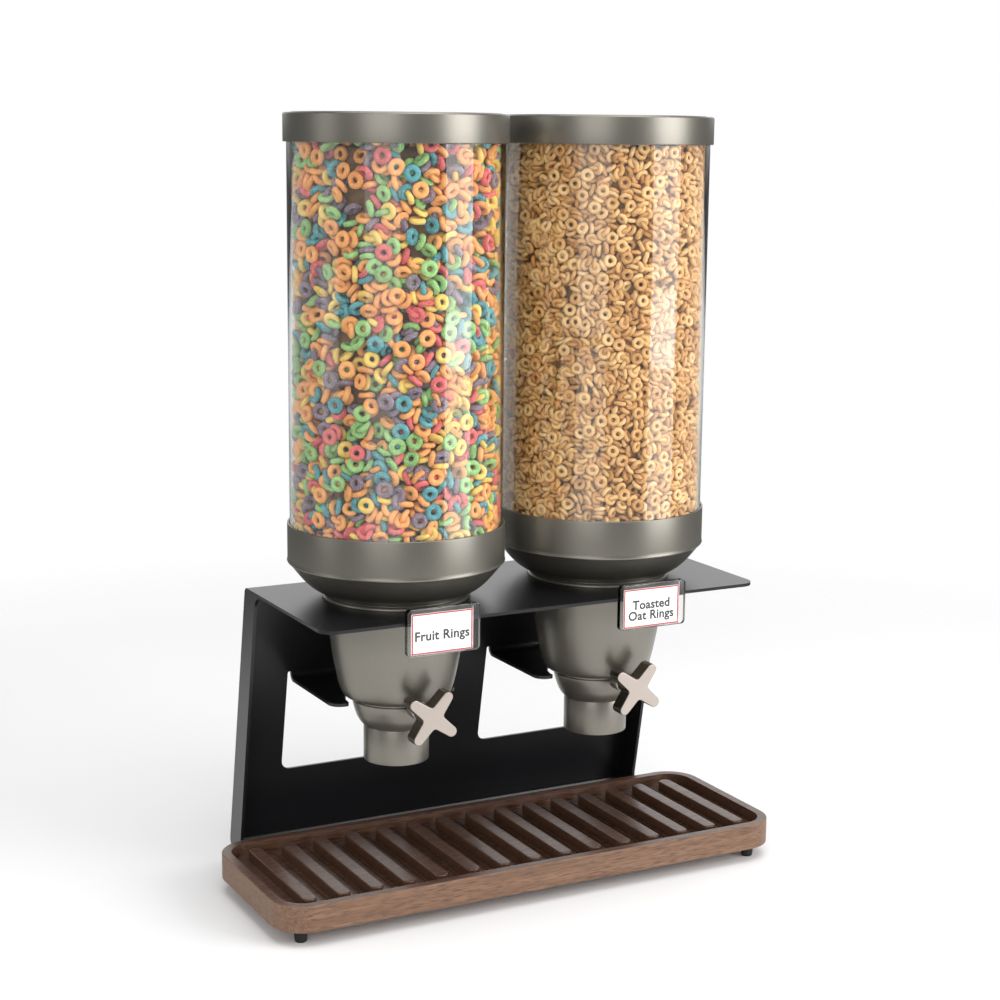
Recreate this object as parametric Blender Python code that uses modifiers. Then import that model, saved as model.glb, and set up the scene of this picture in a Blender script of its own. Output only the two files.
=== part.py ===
"""Twin cereal dispenser on a steel stand with a walnut tray.

Frame: metres, +Z up, X along the row of canisters, the knobs face -Y.
The origin lies on the floor under the middle of the object's box.
Every length below is in millimetres and is turned to metres by mm().
"""

import math

import bmesh
import bpy

# ---------------------------------------------------------------- driving dimensions
HEIGHT = 720.0  # floor to the lids' top
SPACING = 215.4  # between the two canister axes
AXIS_Y = -15.49  # where the canister axes stand, so that the origin is under the middle
GAP = 0.3  # clearance between touching pieces
RUNNING = 0.1  # radial clearance of the axle in its bushings

# stand: folded and welded 3 mm steel
SHEET = 3.0
STAND_HALF = 223.2  # half the width over the two cheeks
LEAN = math.radians(10.9)  # the back panel's foot stands further back than its top
SHELF_TOP = 283.6
SHELF_FRONT = -102.3  # measured from the canister axes, as every Y below
SHELF_BACK = 87.0
SHELF_CORNER = 14.0
CHEEK_DEPTH = 27.2
CHEEK_FILLET = 15.0
BASE_TOP = 13.7
BASE_FRONT = -70.0
WINDOW_HALF = 67.5
WINDOW_BOTTOM = 88.4
WINDOW_CORNER = 9.0
RELIEF_WIDTH = 3.4
RELIEF_TOP = 190.5
CRADLE_TOP = 186.0
CRADLE_HALF = 65.7
CRADLE_FRONT = -1.0
CRADLE_CORNER = 11.5
CRADLE_SEAT = 47.5  # radius of the half-round seat round the valve's waist

# walnut tray
TRAY_HALF = 261.9
TRAY_FRONT = -101.1
TRAY_BACK = 80.4
TRAY_TOP = 38.7
TRAY_BOTTOM = 14.0
TRAY_CORNER = 32.0
TRAY_RIM = 9.0
TRAY_FLOOR = 27.5
RIB_COUNT = 15
RIB_PITCH = 32.5
RIB_WIDTH = 13.6
RIB_TOP = 37.0
RIB_END_GAP = 11.0  # between a rib's end and the rim's inner wall
FOOT_X = 238.0
FOOT_FRONT_Y = -81.0
FOOT_BACK_Y = 60.0
FOOT_RADIUS = 6.5
SCREW_X = 150.0
SCREW_FRONT_Y = -40.0
SCREW_BACK_Y = 60.0
SCREW_SHANK = 1.9
SCREW_HEAD = 4.5

# canister, lid and hopper cup
GLASS_RADIUS = 97.2
GLASS_WALL = 3.0
GLASS_BOTTOM = 324.3
GLASS_TOP = 714.1
LID_RADIUS = 100.35
LID_BOTTOM = 693.9
LID_PLATE = 2.6
CUP_RADIUS = 100.1
CUP_RIM = 353.4
CUP_CREASE = 317.8
CUP_LEDGE = 321.2
NECK_RADIUS = 66.0
NECK_BOTTOM = 287.2
SPIGOT_RADIUS = 58.5
SPIGOT_BORE = 55.5
SPIGOT_BOTTOM = 268.0

# dispensing valve: its wheel turns on an axle along Y
WHEEL_Z = 186.0
FLANGE_RADIUS = 68.5
LIP_BOTTOM = 189.0  # the upper shell's lip, over the groove
HOUSING_BOTTOM = 186.3  # end of its neck, on the lower cap
SPOUT_RADIUS = 30.6
SPOUT_BOTTOM = 127.7
SPOUT_BORE = 28.3
AXLE_RADIUS = 5.0
AXLE_FRONT = -67.5
AXLE_BACK = 35.5
BOSS_RADIUS = 8.8
SLEEVE_RADIUS = 6.3
BOSS_FRONT = -52.0
WHEEL_RADIUS = 27.0
WHEEL_HALF = 19.5
VANES = 6
VANE = 2.4
KNOB_FRONT = -80.0
KNOB_DEPTH = 15.0
ARM_REACH = 23.2  # centre of the round end of each arm
ARM_TIP = 5.1
ARM_ROOT = 6.6
ARM_TURN = 52.0  # degrees from X to the first arm
HUB_RADIUS = 8.2
HUB_BACK = -55.0

# clear label holder on the shelf's front edge
HOLDER_WIDTH = 71.0
HOLDER_HEIGHT = 42.4
HOLDER_BOTTOM = 253.8
HOLDER_BACK = -102.6
HOLDER_DEPTH = 5.4
HOLDER_OFFSET = -4.0  # the holder's middle from the canister axis
HOLDER_CORNER = 4.0
CARD_WIDTH = 59.6
CARD_OFFSET = -1.3  # the card's middle from the holder's
CARD_HEIGHT = 36.5
CARD_THICK = 0.6

ROUND_STEPS = 48  # facets round a large turned piece
SMALL_STEPS = 20

# name: (colour, roughness, metallic)
FINISHES = {
    "black_powder_coat": ((0.012, 0.012, 0.013), 0.45, 0.2),
    "pewter_metallic": ((0.20, 0.19, 0.165), 0.38, 0.75),
    "clear_acrylic": ((0.85, 0.88, 0.88), 0.05, 0.0),
    "satin_nickel": ((0.68, 0.62, 0.57), 0.30, 1.0),
    "walnut": ((0.13, 0.055, 0.028), 0.45, 0.0),
    "black_rubber": ((0.02, 0.02, 0.02), 0.8, 0.0),
    "grey_silicone": ((0.35, 0.35, 0.34), 0.7, 0.0),
    "ivory_nylon": ((0.75, 0.72, 0.62), 0.5, 0.0),
    "steel": ((0.55, 0.56, 0.57), 0.3, 1.0),
    "white_card": ((0.85, 0.84, 0.82), 0.8, 0.0),
}


def mm(value):
    return value * 0.001


# ---------------------------------------------------------------- scene and materials
for old in list(bpy.data.objects):
    bpy.data.objects.remove(old, do_unlink=True)

parts = bpy.data.collections.new("cereal_dispenser")
cutters = bpy.data.collections.new("cutters")
bpy.context.scene.collection.children.link(parts)
bpy.context.scene.collection.children.link(cutters)


def make_material(name, colour, roughness, metallic):
    material = bpy.data.materials.new(name)
    material.use_nodes = True
    shader = material.node_tree.nodes["Principled BSDF"]
    shader.inputs["Base Color"].default_value = (*colour, 1.0)
    shader.inputs["Roughness"].default_value = roughness
    shader.inputs["Metallic"].default_value = metallic
    return material


materials = {name: make_material(name, *look) for name, look in FINISHES.items()}


# ---------------------------------------------------------------- modelling helpers
def add(name, data, finish, location=(0, 0, 0), rotation=(0, 0, 0), parent=None):
    """One named piece, placed in millimetres."""
    obj = bpy.data.objects.new(name, data)
    obj.location = [mm(v) for v in location]
    obj.rotation_euler = rotation
    if finish:
        data.materials.append(materials[finish])
        parts.objects.link(obj)
    else:
        cutters.objects.link(obj)
        obj.hide_render = True
        obj.display_type = "WIRE"
    if parent:
        obj.parent = parent
    return obj


def smooth(obj, angle=35.0):
    obj.data.shade_smooth()
    obj.data.set_sharp_from_angle(angle=math.radians(angle))


def turned(name, outline, finish, location, steps=ROUND_STEPS, axis="Z", parent=None):
    """A turned piece. The outline gives (radius, height): down its outer side, then up its inner side."""
    mesh = bpy.data.meshes.new(name)
    points = [(mm(r), 0.0, mm(h)) for r, h in outline]
    solid_core = outline[0][0] == 0 and outline[-1][0] == 0
    count = len(points)
    edges = [(i, i + 1) for i in range(count - 1)]
    if not solid_core:
        edges.append((count - 1, 0))
    mesh.from_pydata(points, edges, [])
    rotation = (0, 0, 0) if axis == "Z" else (math.radians(90), 0, 0)
    obj = add(name, mesh, finish, location, rotation, parent)
    screw = obj.modifiers.new("Screw", "SCREW")
    screw.axis = "Z"
    screw.steps = steps
    screw.render_steps = steps
    screw.use_merge_vertices = True
    screw.merge_threshold = 0.00001
    screw.use_smooth_shade = True
    return obj


def arc(cx, cy, radius, start, end, count):
    """Points on an arc, angles in degrees, both ends included."""
    turn = [math.radians(start + (end - start) * i / count) for i in range(count + 1)]
    return [(cx + radius * math.cos(a), cy + radius * math.sin(a)) for a in turn]


def rounded(corners, count=5):
    """An outline through (x, y, radius) corners, with each corner rounded to its radius."""
    outline = []
    total = len(corners)
    for i, (x, y, radius) in enumerate(corners):
        if radius == 0:
            outline.append((x, y))
            continue
        ax, ay = corners[i - 1][:2]
        bx, by = corners[(i + 1) % total][:2]
        to_a = math.atan2(ay - y, ax - x)
        to_b = math.atan2(by - y, bx - x)
        opening = (to_b - to_a + math.pi) % (2 * math.pi) - math.pi
        half = abs(opening) / 2
        reach = radius / math.sin(half)
        middle = to_a + opening / 2
        cx, cy = x + reach * math.cos(middle), y + reach * math.sin(middle)
        sweep = math.pi - abs(opening)
        first = to_a - math.copysign(math.pi / 2, opening)
        for k in range(count + 1):
            a = first - math.copysign(sweep, opening) * k / count
            outline.append((cx + radius * math.cos(a), cy + radius * math.sin(a)))
    return outline


def plate(name, outlines, thickness, finish, location, rotation=(0, 0, 0), parent=None, chamfer=0.0):
    """A flat piece: the first outline is its edge, the others are holes through it."""
    curve = bpy.data.curves.new(name, "CURVE")
    curve.dimensions = "2D"
    curve.fill_mode = "BOTH"
    curve.extrude = mm(thickness) / 2 - mm(chamfer)
    curve.bevel_depth = mm(chamfer)
    curve.bevel_resolution = 0
    curve.offset = -mm(chamfer)
    for outline in outlines:
        spline = curve.splines.new("POLY")
        spline.points.add(len(outline) - 1)
        for point, (x, y) in zip(spline.points, outline):
            point.co = (mm(x), mm(y), 0.0, 1.0)
        spline.use_cyclic_u = True
    return add(name, curve, finish, location, rotation, parent)


def to_mesh(obj):
    """Turns a plate into a welded mesh, so that it can be cut or joined."""
    bpy.context.view_layer.update()
    graph = bpy.context.evaluated_depsgraph_get()
    mesh = bpy.data.meshes.new_from_object(obj.evaluated_get(graph))
    work = bmesh.new()
    work.from_mesh(mesh)
    bmesh.ops.remove_doubles(work, verts=work.verts, dist=0.000001)
    bmesh.ops.recalc_face_normals(work, faces=work.faces)
    work.to_mesh(mesh)
    work.free()
    name, home = obj.name, obj.users_collection[0]
    solid = bpy.data.objects.new(name, mesh)
    solid.matrix_world = obj.matrix_world
    solid.hide_render = obj.hide_render
    solid.display_type = obj.display_type
    bpy.data.objects.remove(obj, do_unlink=True)
    solid.name = name
    home.objects.link(solid)
    return solid


def rod(name, radius, length, finish, location, axis="Z", steps=SMALL_STEPS, radius2=None, parent=None):
    """A cylinder or cone on an axis; its location is its middle."""
    mesh = bpy.data.meshes.new(name)
    work = bmesh.new()
    top = radius if radius2 is None else radius2
    bmesh.ops.create_cone(
        work, cap_ends=True, segments=steps, radius1=mm(radius), radius2=mm(top), depth=mm(length)
    )
    work.to_mesh(mesh)
    work.free()
    rotation = {"Z": (0, 0, 0), "Y": (math.radians(90), 0, 0), "X": (0, math.radians(90), 0)}[axis]
    obj = add(name, mesh, finish, location, rotation, parent)
    smooth(obj)
    return obj


def block(name, size, finish, location, parent=None):
    mesh = bpy.data.meshes.new(name)
    work = bmesh.new()
    bmesh.ops.create_cube(work, size=1.0)
    bmesh.ops.scale(work, vec=[mm(v) for v in size], verts=work.verts)
    work.to_mesh(mesh)
    work.free()
    return add(name, mesh, finish, location, parent=parent)


def combine(obj, other, operation):
    """Cuts, joins or trims a piece with a helper shape by an exact Boolean."""
    modifier = obj.modifiers.new(other.name, "BOOLEAN")
    modifier.operation = operation
    modifier.solver = "EXACT"
    modifier.object = other


def cut(obj, *others):
    for other in others:
        combine(obj, other, "DIFFERENCE")


def join(obj, *others):
    for other in others:
        combine(obj, other, "UNION")


# ---------------------------------------------------------------- stand
def panel_rear(z):
    """Y of the back panel's rear face at a height."""
    return SHELF_BACK + math.tan(LEAN) * (SHELF_TOP - z)


def make_shelf(axes_x):
    half, front = STAND_HALF, SHELF_FRONT
    edge = rounded([
        (-half, front, SHELF_CORNER),
        (half, front, SHELF_CORNER),
        (half, SHELF_BACK, 3.0),
        (-half, SHELF_BACK, 3.0),
    ])
    holes = [arc(x, 0, 64.6, 0, 360 - 360 / ROUND_STEPS, ROUND_STEPS - 1) for x in axes_x]
    plate("top_shelf", [edge, *holes], SHEET, "black_powder_coat", (0, AXIS_Y, SHELF_TOP - SHEET / 2))


def make_back_panel(axes_x):
    """A leaning plate with a window behind each valve; small reliefs rise beside each cradle's fold."""
    top = SHELF_TOP - SHEET - GAP
    bottom = BASE_TOP + GAP + SHEET * math.sin(LEAN)
    middle_z = (top + bottom) / 2
    half = STAND_HALF - SHEET - GAP

    def up(z):
        return (z - middle_z) / math.cos(LEAN)

    edge = [(-half, up(bottom)), (half, up(bottom)), (half, up(top)), (-half, up(top))]
    relief_in = WINDOW_HALF - RELIEF_WIDTH
    fold = CRADLE_TOP - SHEET - GAP
    windows = [
        rounded([
            (x - WINDOW_HALF, up(WINDOW_BOTTOM), WINDOW_CORNER),
            (x + WINDOW_HALF, up(WINDOW_BOTTOM), WINDOW_CORNER),
            (x + WINDOW_HALF, up(RELIEF_TOP), RELIEF_WIDTH / 2.2),
            (x + relief_in, up(RELIEF_TOP), RELIEF_WIDTH / 2.2),
            (x + relief_in, up(fold), 0),
            (x - relief_in, up(fold), 0),
            (x - relief_in, up(RELIEF_TOP), RELIEF_WIDTH / 2.2),
            (x - WINDOW_HALF, up(RELIEF_TOP), RELIEF_WIDTH / 2.2),
        ])
        for x in axes_x
    ]
    y = AXIS_Y + panel_rear(middle_z) - SHEET / 2 / math.cos(LEAN)
    rotation = (math.radians(90) + LEAN, 0, 0)
    plate("back_panel", [edge, *windows], SHEET, "black_powder_coat", (0, y, middle_z), rotation)


def make_base_plate():
    back = panel_rear(BASE_TOP)
    edge = rounded([
        (-STAND_HALF, BASE_FRONT, 20.0),
        (STAND_HALF, BASE_FRONT, 20.0),
        (STAND_HALF, back, 3.0),
        (-STAND_HALF, back, 3.0),
    ])
    holes = [
        arc(x, y, 2.4, 0, 330, 11) for x in (-SCREW_X, SCREW_X) for y in (SCREW_FRONT_Y, SCREW_BACK_Y)
    ]
    plate(
        "base_plate", [edge, *holes], SHEET, "black_powder_coat", (0, AXIS_Y, BASE_TOP - SHEET / 2)
    )


def make_cheek(name, side):
    """A side flange of the back panel, with a fillet into the shelf and one into the base."""
    top = SHELF_TOP - SHEET - GAP
    bottom = BASE_TOP + GAP
    inner_top = panel_rear(top) - CHEEK_DEPTH
    inner_bottom = panel_rear(bottom) - CHEEK_DEPTH
    lead = 16.0  # how far the fillets run forward of the cheek's front edge
    lip = 2.5
    edge = rounded([
        (panel_rear(bottom), bottom, 0),
        (panel_rear(top), top, 3.0),
        (inner_top - lead, top, 0),
        (inner_top - lead, top - lip, 0),
        (inner_top + 1.0, top - lip, CHEEK_FILLET),
        (inner_bottom - 1.0, bottom + lip, CHEEK_FILLET),
        (inner_bottom - lead, bottom + lip, 0),
        (inner_bottom - lead, bottom, 0),
    ], count=7)
    rotation = (math.radians(90), 0, math.radians(90))
    x = side * (STAND_HALF - SHEET / 2)
    plate(name, [edge], SHEET, "black_powder_coat", (x, AXIS_Y, 0), rotation)


def make_cradle(name, x):
    """The tab folded forward out of each window: a half-round seat holds the valve's waist."""
    back = panel_rear(CRADLE_TOP) - SHEET / math.cos(LEAN) - GAP
    seat = arc(0, 0, CRADLE_SEAT, 0, 180, 22)
    outline = rounded([
        (CRADLE_SEAT, CRADLE_FRONT, 0),
        (CRADLE_HALF, CRADLE_FRONT, CRADLE_CORNER),
        (CRADLE_HALF, back, 0),
        (-CRADLE_HALF, back, 0),
        (-CRADLE_HALF, CRADLE_FRONT, CRADLE_CORNER),
        (-CRADLE_SEAT, CRADLE_FRONT, 0),
    ])
    outline += seat[::-1]
    plate(name, [outline], SHEET, "black_powder_coat", (x, AXIS_Y, CRADLE_TOP - SHEET / 2))


# ---------------------------------------------------------------- tray, feet and screws
def tray_outline(inset, corner):
    half, front, back = TRAY_HALF - inset, TRAY_FRONT + inset, TRAY_BACK - inset
    return rounded([
        (-half, front, corner),
        (half, front, corner),
        (half, back, corner),
        (-half, back, corner),
    ], count=8)


def rib_outline(x):
    front = TRAY_FRONT + TRAY_RIM + RIB_END_GAP
    back = TRAY_BACK - TRAY_RIM - RIB_END_GAP
    half = RIB_WIDTH / 2
    return rounded([
        (x - half, front, 3.0),
        (x + half, front, 3.0),
        (x + half, back, 3.0),
        (x - half, back, 3.0),
    ], count=2)


def make_tray():
    """A walnut board with a pocket, and in it a row of ribs a little lower than the rim."""
    height = TRAY_TOP - TRAY_BOTTOM
    middle = (TRAY_TOP + TRAY_BOTTOM) / 2
    tray = to_mesh(plate("tray", [tray_outline(0, TRAY_CORNER)], height, "walnut", (0, AXIS_Y, middle)))
    first = -(RIB_COUNT - 1) / 2 * RIB_PITCH
    ribs = [rib_outline(first + i * RIB_PITCH) for i in range(RIB_COUNT)]
    over = 5.0
    pocket = plate(
        "tray_pocket", [tray_outline(TRAY_RIM, TRAY_CORNER - TRAY_RIM)], TRAY_TOP + over - TRAY_FLOOR, None,
        (0, AXIS_Y, (TRAY_TOP + over + TRAY_FLOOR) / 2),
    )
    rooted = 2.0
    standing = plate(
        "tray_ribs", ribs, RIB_TOP - TRAY_FLOOR + rooted, None,
        (0, AXIS_Y, (RIB_TOP + TRAY_FLOOR - rooted) / 2), chamfer=1.2,
    )
    cut(tray, to_mesh(pocket))
    join(tray, to_mesh(standing))
    for i, (x, y) in enumerate(screw_places()):
        hole = rod(f"tray_screw_hole_{i + 1}", SCREW_SHANK + GAP, 12.0, None, (x, y, TRAY_BOTTOM + 4.0), steps=12)
        cut(tray, hole)


def screw_places():
    return [
        (x, AXIS_Y + y) for y in (SCREW_FRONT_Y, SCREW_BACK_Y) for x in (-SCREW_X, SCREW_X)
    ]


def make_feet():
    height = TRAY_BOTTOM - GAP
    for row, y in (("front", FOOT_FRONT_Y), ("back", FOOT_BACK_Y)):
        for side, x in (("left", -FOOT_X), ("right", FOOT_X)):
            rod(
                f"foot_{row}_{side}",
                FOOT_RADIUS - 1.0,
                height,
                "black_rubber",
                (x, AXIS_Y + y, height / 2),
                radius2=FOOT_RADIUS,
            )


def make_tray_screws():
    """Pan-head screws hold the base plate to the tray's underside."""
    head_top = BASE_TOP - SHEET - GAP
    head = 2.4
    for i, (x, y) in enumerate(screw_places()):
        outline = [
            (0, TRAY_BOTTOM + 9.0),
            (SCREW_SHANK, TRAY_BOTTOM + 8.0),
            (SCREW_SHANK, head_top),
            (SCREW_HEAD, head_top),
            (SCREW_HEAD - 0.8, head_top - head),
            (0, head_top - head),
        ]
        turned(f"tray_screw_{i + 1}", outline, "steel", (x, y, 0), steps=12)


# ---------------------------------------------------------------- canister, lid and cup
def make_canister(tag, place):
    wall_in = GLASS_RADIUS - GLASS_WALL
    turned(
        f"canister_{tag}",
        [(GLASS_RADIUS, GLASS_TOP), (GLASS_RADIUS, GLASS_BOTTOM), (wall_in, GLASS_BOTTOM), (wall_in, GLASS_TOP)],
        "clear_acrylic", place,
    )
    skirt_in = GLASS_RADIUS + 0.5
    under = HEIGHT - LID_PLATE
    turned(
        f"lid_{tag}",
        [(0, HEIGHT), (LID_RADIUS - 1.6, HEIGHT), (LID_RADIUS, HEIGHT - 1.6), (LID_RADIUS, LID_BOTTOM),
         (skirt_in, LID_BOTTOM), (skirt_in, under), (0, under)],
        "pewter_metallic", place,
    )
    ring_out, ring_in = GLASS_RADIUS, wall_in - 0.7
    turned(
        f"lid_seal_{tag}",
        [(ring_out, under - GAP), (ring_out, GLASS_TOP + GAP), (ring_in, GLASS_TOP + GAP), (ring_in, under - GAP)],
        "grey_silicone", place, steps=36,
    )
    turned(
        f"canister_seal_{tag}",
        [(ring_out, GLASS_BOTTOM - GAP), (ring_out, CUP_LEDGE + GAP), (ring_in, CUP_LEDGE + GAP),
         (ring_in, GLASS_BOTTOM - GAP)],
        "grey_silicone", place, steps=36,
    )


def make_cup(tag, place):
    """The hopper cup: a straight collar round the canister over a round bowl and a plug-in neck."""
    outer = [
        (CUP_RADIUS - 1.0, CUP_RIM), (CUP_RADIUS, CUP_RIM - 1.0), (CUP_RADIUS - 0.3, CUP_CREASE + 2.4),
        (CUP_RADIUS - 0.8, CUP_CREASE), (98.0, CUP_CREASE - 1.0), (92.5, 309.3), (86.3, 301.9), (79.5, 295.6),
        (73.0, 291.4), (68.5, 289.2), (NECK_RADIUS, 288.3), (NECK_RADIUS, NECK_BOTTOM),
        (SPIGOT_RADIUS, NECK_BOTTOM), (SPIGOT_RADIUS, SPIGOT_BOTTOM),
    ]
    inner = [
        (SPIGOT_BORE, SPIGOT_BOTTOM), (SPIGOT_BORE, NECK_BOTTOM), (61.5, 291.2), (72.0, 294.4),
        (84.0, 304.8), (89.5, 311.7), (91.5, 316.0),
    ]
    inner += [(91.5, CUP_LEDGE), (GLASS_RADIUS + 0.5, CUP_LEDGE), (GLASS_RADIUS + 0.5, CUP_RIM)]
    turned(f"hopper_cup_{tag}", outer + inner, "pewter_metallic", place)


# ---------------------------------------------------------------- dispensing valve
def make_housing(tag, place):
    """The valve's upper shell hangs through the shelf by its flange and carries the axle boss."""
    flange_top = NECK_BOTTOM - GAP
    flange_low = SHELF_TOP + GAP
    outline = [
        (FLANGE_RADIUS - 1.4, flange_top), (FLANGE_RADIUS, flange_low + 1.4), (FLANGE_RADIUS, flange_low),
        (63.6, flange_low), (63.0, 268.0), (61.8, 248.6), (59.7, 232.0), (57.8, 221.0), (55.6, 209.6),
        (53.7, 201.5), (51.9, 196.0), (50.0, 192.3), (47.6, 190.0), (45.0, LIP_BOTTOM), (39.9, LIP_BOTTOM),
        (39.9, HOUSING_BOTTOM), (38.3, HOUSING_BOTTOM), (38.3, 190.4), (42.6, 192.2), (46.8, 196.0),
        (50.6, 203.4), (52.8, 211.0), (57.0, 233.0), (59.1, 249.0), (59.2, flange_top),
    ]
    housing = turned(f"valve_housing_{tag}", outline, "pewter_metallic", place)
    x, y, _ = place
    boss = rod(
        f"boss_{tag}", BOSS_RADIUS, -38.5 - BOSS_FRONT, None, (x, y + (BOSS_FRONT - 38.5) / 2, WHEEL_Z), "Y", 24
    )
    below = rod(f"boss_trim_{tag}", 41.6, 30.0, None, (x, y, LIP_BOTTOM + 0.7 - 15.0), steps=ROUND_STEPS)
    cut(boss, below)
    join(housing, boss)
    bore = SLEEVE_RADIUS + GAP
    cut(housing, rod(f"boss_bore_{tag}", bore, 24.0, None, (x, y - 46.0, WHEEL_Z), "Y", 24))


def make_spout(tag, place):
    """The round lower cap with the straight spout that the cereal falls through."""
    x, y, _ = place
    top = HOUSING_BOTTOM - GAP
    outline = [
        (41.2, top), (41.0, 184.0), (40.2, 180.0), (38.7, 175.0), (36.9, 170.0), (34.4, 165.5), (31.7, 162.2),
        (31.0, 161.0), (SPOUT_RADIUS, 160.2), (SPOUT_RADIUS, SPOUT_BOTTOM + 0.8),
        (SPOUT_RADIUS - 0.8, SPOUT_BOTTOM), (SPOUT_BORE, SPOUT_BOTTOM), (SPOUT_BORE, 161.2), (34.1, 170.0),
        (37.4, 180.0), (38.3, 184.0), (38.3, top),
    ]
    spout = turned(f"spout_{tag}", outline, "pewter_metallic", place)
    notch = SLEEVE_RADIUS + GAP
    cut(spout, rod(f"sleeve_notch_{tag}", notch, 24.0, None, (x, y - 46.0, WHEEL_Z), "Y", 24))


def make_insert(tag, place):
    """The metering chamber inside the valve: a cross bore for the wheel, open above and below."""
    x, y, _ = place
    outline = [
        (0, 204.2), (50.2, 204.2), (48.8, 202.0), (38.0, 199.0), (38.0, 184.0), (37.0, 179.8), (35.2, 174.8),
        (30.6, 165.2), (27.7, 161.6), (0, 161.6),
    ]
    insert = turned(f"metering_chamber_{tag}", outline, "ivory_nylon", place)
    cut(
        insert,
        rod(f"chamber_bore_{tag}", WHEEL_RADIUS + 1.0, 2 * (WHEEL_HALF + 1.5), None, (x, y, WHEEL_Z), "Y", 40),
        block(f"chamber_throat_{tag}", (48.0, 40.0, 40.0), None, (x, y, WHEEL_Z + 20.0)),
        rod(f"chamber_outlet_{tag}", 20.0, 40.0, None, (x, y, WHEEL_Z - 20.0), steps=28),
        rod(f"chamber_front_hole_{tag}", 5.4, 20.0, None, (x, y - 31.0, WHEEL_Z), "Y"),
        rod(f"chamber_back_hole_{tag}", 8.3, 24.0, None, (x, y + 31.0, WHEEL_Z), "Y"),
    )


def make_bushings(tag, place):
    x, y, _ = place
    bore = AXLE_RADIUS + RUNNING
    front_end = -(BOSS_FRONT - 2.4)
    turned(
        f"front_bushing_{tag}",
        [(BOSS_RADIUS - 0.4, front_end), (BOSS_RADIUS - 0.4, front_end - 2.0), (SLEEVE_RADIUS, front_end - 2.0),
         (SLEEVE_RADIUS, 39.2), (bore, 39.2), (bore, front_end)],
        "ivory_nylon", (x, y, WHEEL_Z), steps=24, axis="Y",
    )
    turned(
        f"rear_bushing_{tag}",
        [(8.0, -26.0), (8.0, -36.0), (bore, -36.0), (bore, -26.0)],
        "ivory_nylon", (x, y, WHEEL_Z), steps=24, axis="Y",
    )


def wheel_outline():
    """Six straight vanes with round tips on a round hub."""
    outline = []
    hub = 9.0
    half_angle = math.degrees(math.asin(VANE / 2 / hub))
    for i in range(VANES):
        turn = 360.0 * i / VANES
        c, s = math.cos(math.radians(turn)), math.sin(math.radians(turn))
        tip = arc(WHEEL_RADIUS - VANE / 2, 0, VANE / 2, -90, 90, 4)
        outline += [(px * c - py * s, px * s + py * c) for px, py in tip]
        outline += arc(0, 0, hub, turn + half_angle, turn + 360.0 / VANES - half_angle, 4)
    return outline


def make_rotor(tag, place):
    """Everything that turns with the knob hangs from an empty on the axle's line."""
    x, y, _ = place
    pivot = bpy.data.objects.new(f"knob_pivot_{tag}", None)
    pivot.location = (mm(x), mm(y), mm(WHEEL_Z))
    parts.objects.link(pivot)
    facing = (math.radians(90), 0, 0)
    bore = arc(0, 0, AXLE_RADIUS + GAP, 0, 345, 23)
    plate(
        f"paddle_wheel_{tag}", [wheel_outline(), bore], 2 * WHEEL_HALF, "grey_silicone",
        (0, 0, 0), facing, parent=pivot,
    )
    rod(
        f"axle_{tag}", AXLE_RADIUS, AXLE_BACK - AXLE_FRONT, "steel", (0, (AXLE_BACK + AXLE_FRONT) / 2, 0),
        "Y", 24, parent=pivot,
    )
    make_knob(tag, place, pivot)
    screw_y = -60.0
    rod(f"knob_set_screw_{tag}", 1.7, 3.6, "steel", (0, screw_y, 7.3), steps=12, parent=pivot)


def knob_outline():
    """A four-armed cross: tapering arms with round ends and small fillets between them."""
    outline = []
    root = ARM_ROOT * 1.04
    for i in range(4):
        turn = math.radians(ARM_TURN + 90 * i)
        c, s = math.cos(turn), math.sin(turn)
        arm = [(root + 3.2, -ARM_ROOT + 0.4)]
        arm += arc(ARM_REACH, 0, ARM_TIP, -86, 86, 8)
        arm += [(root + 3.2, ARM_ROOT - 0.4)]
        arm += arc(root + 2.9, root + 2.9, 3.0, 265, 185, 3)[1:-1]
        outline += [(px * c - py * s, px * s + py * c) for px, py in arm]
    return outline


def make_knob(tag, place, pivot):
    x, y, _ = place
    middle = KNOB_FRONT + KNOB_DEPTH / 2
    shape = plate(
        f"knob_{tag}", [knob_outline()], KNOB_DEPTH, "satin_nickel", (x, y + middle, WHEEL_Z),
        (math.radians(90), 0, 0), chamfer=0.7,
    )
    knob = to_mesh(shape)
    hub_front = KNOB_FRONT + KNOB_DEPTH - 2.0
    hub = rod(
        f"knob_hub_{tag}", HUB_RADIUS, HUB_BACK - hub_front, None, (x, y + (HUB_BACK + hub_front) / 2, WHEEL_Z),
        "Y", 24,
    )
    join(knob, hub)
    bore_end = AXLE_FRONT - 0.5
    bore_back = HUB_BACK + 2.0
    cut(
        knob,
        rod(f"knob_bore_{tag}", AXLE_RADIUS + GAP, bore_back - bore_end, None,
            (x, y + (bore_back + bore_end) / 2, WHEEL_Z), "Y", 24),
        rod(f"set_screw_hole_{tag}", 2.0, 8.0, None, (x, y - 60.0, WHEEL_Z + 8.0), steps=12),
    )
    bpy.context.view_layer.update()
    knob.parent = pivot
    knob.matrix_parent_inverse = pivot.matrix_world.inverted()


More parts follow.
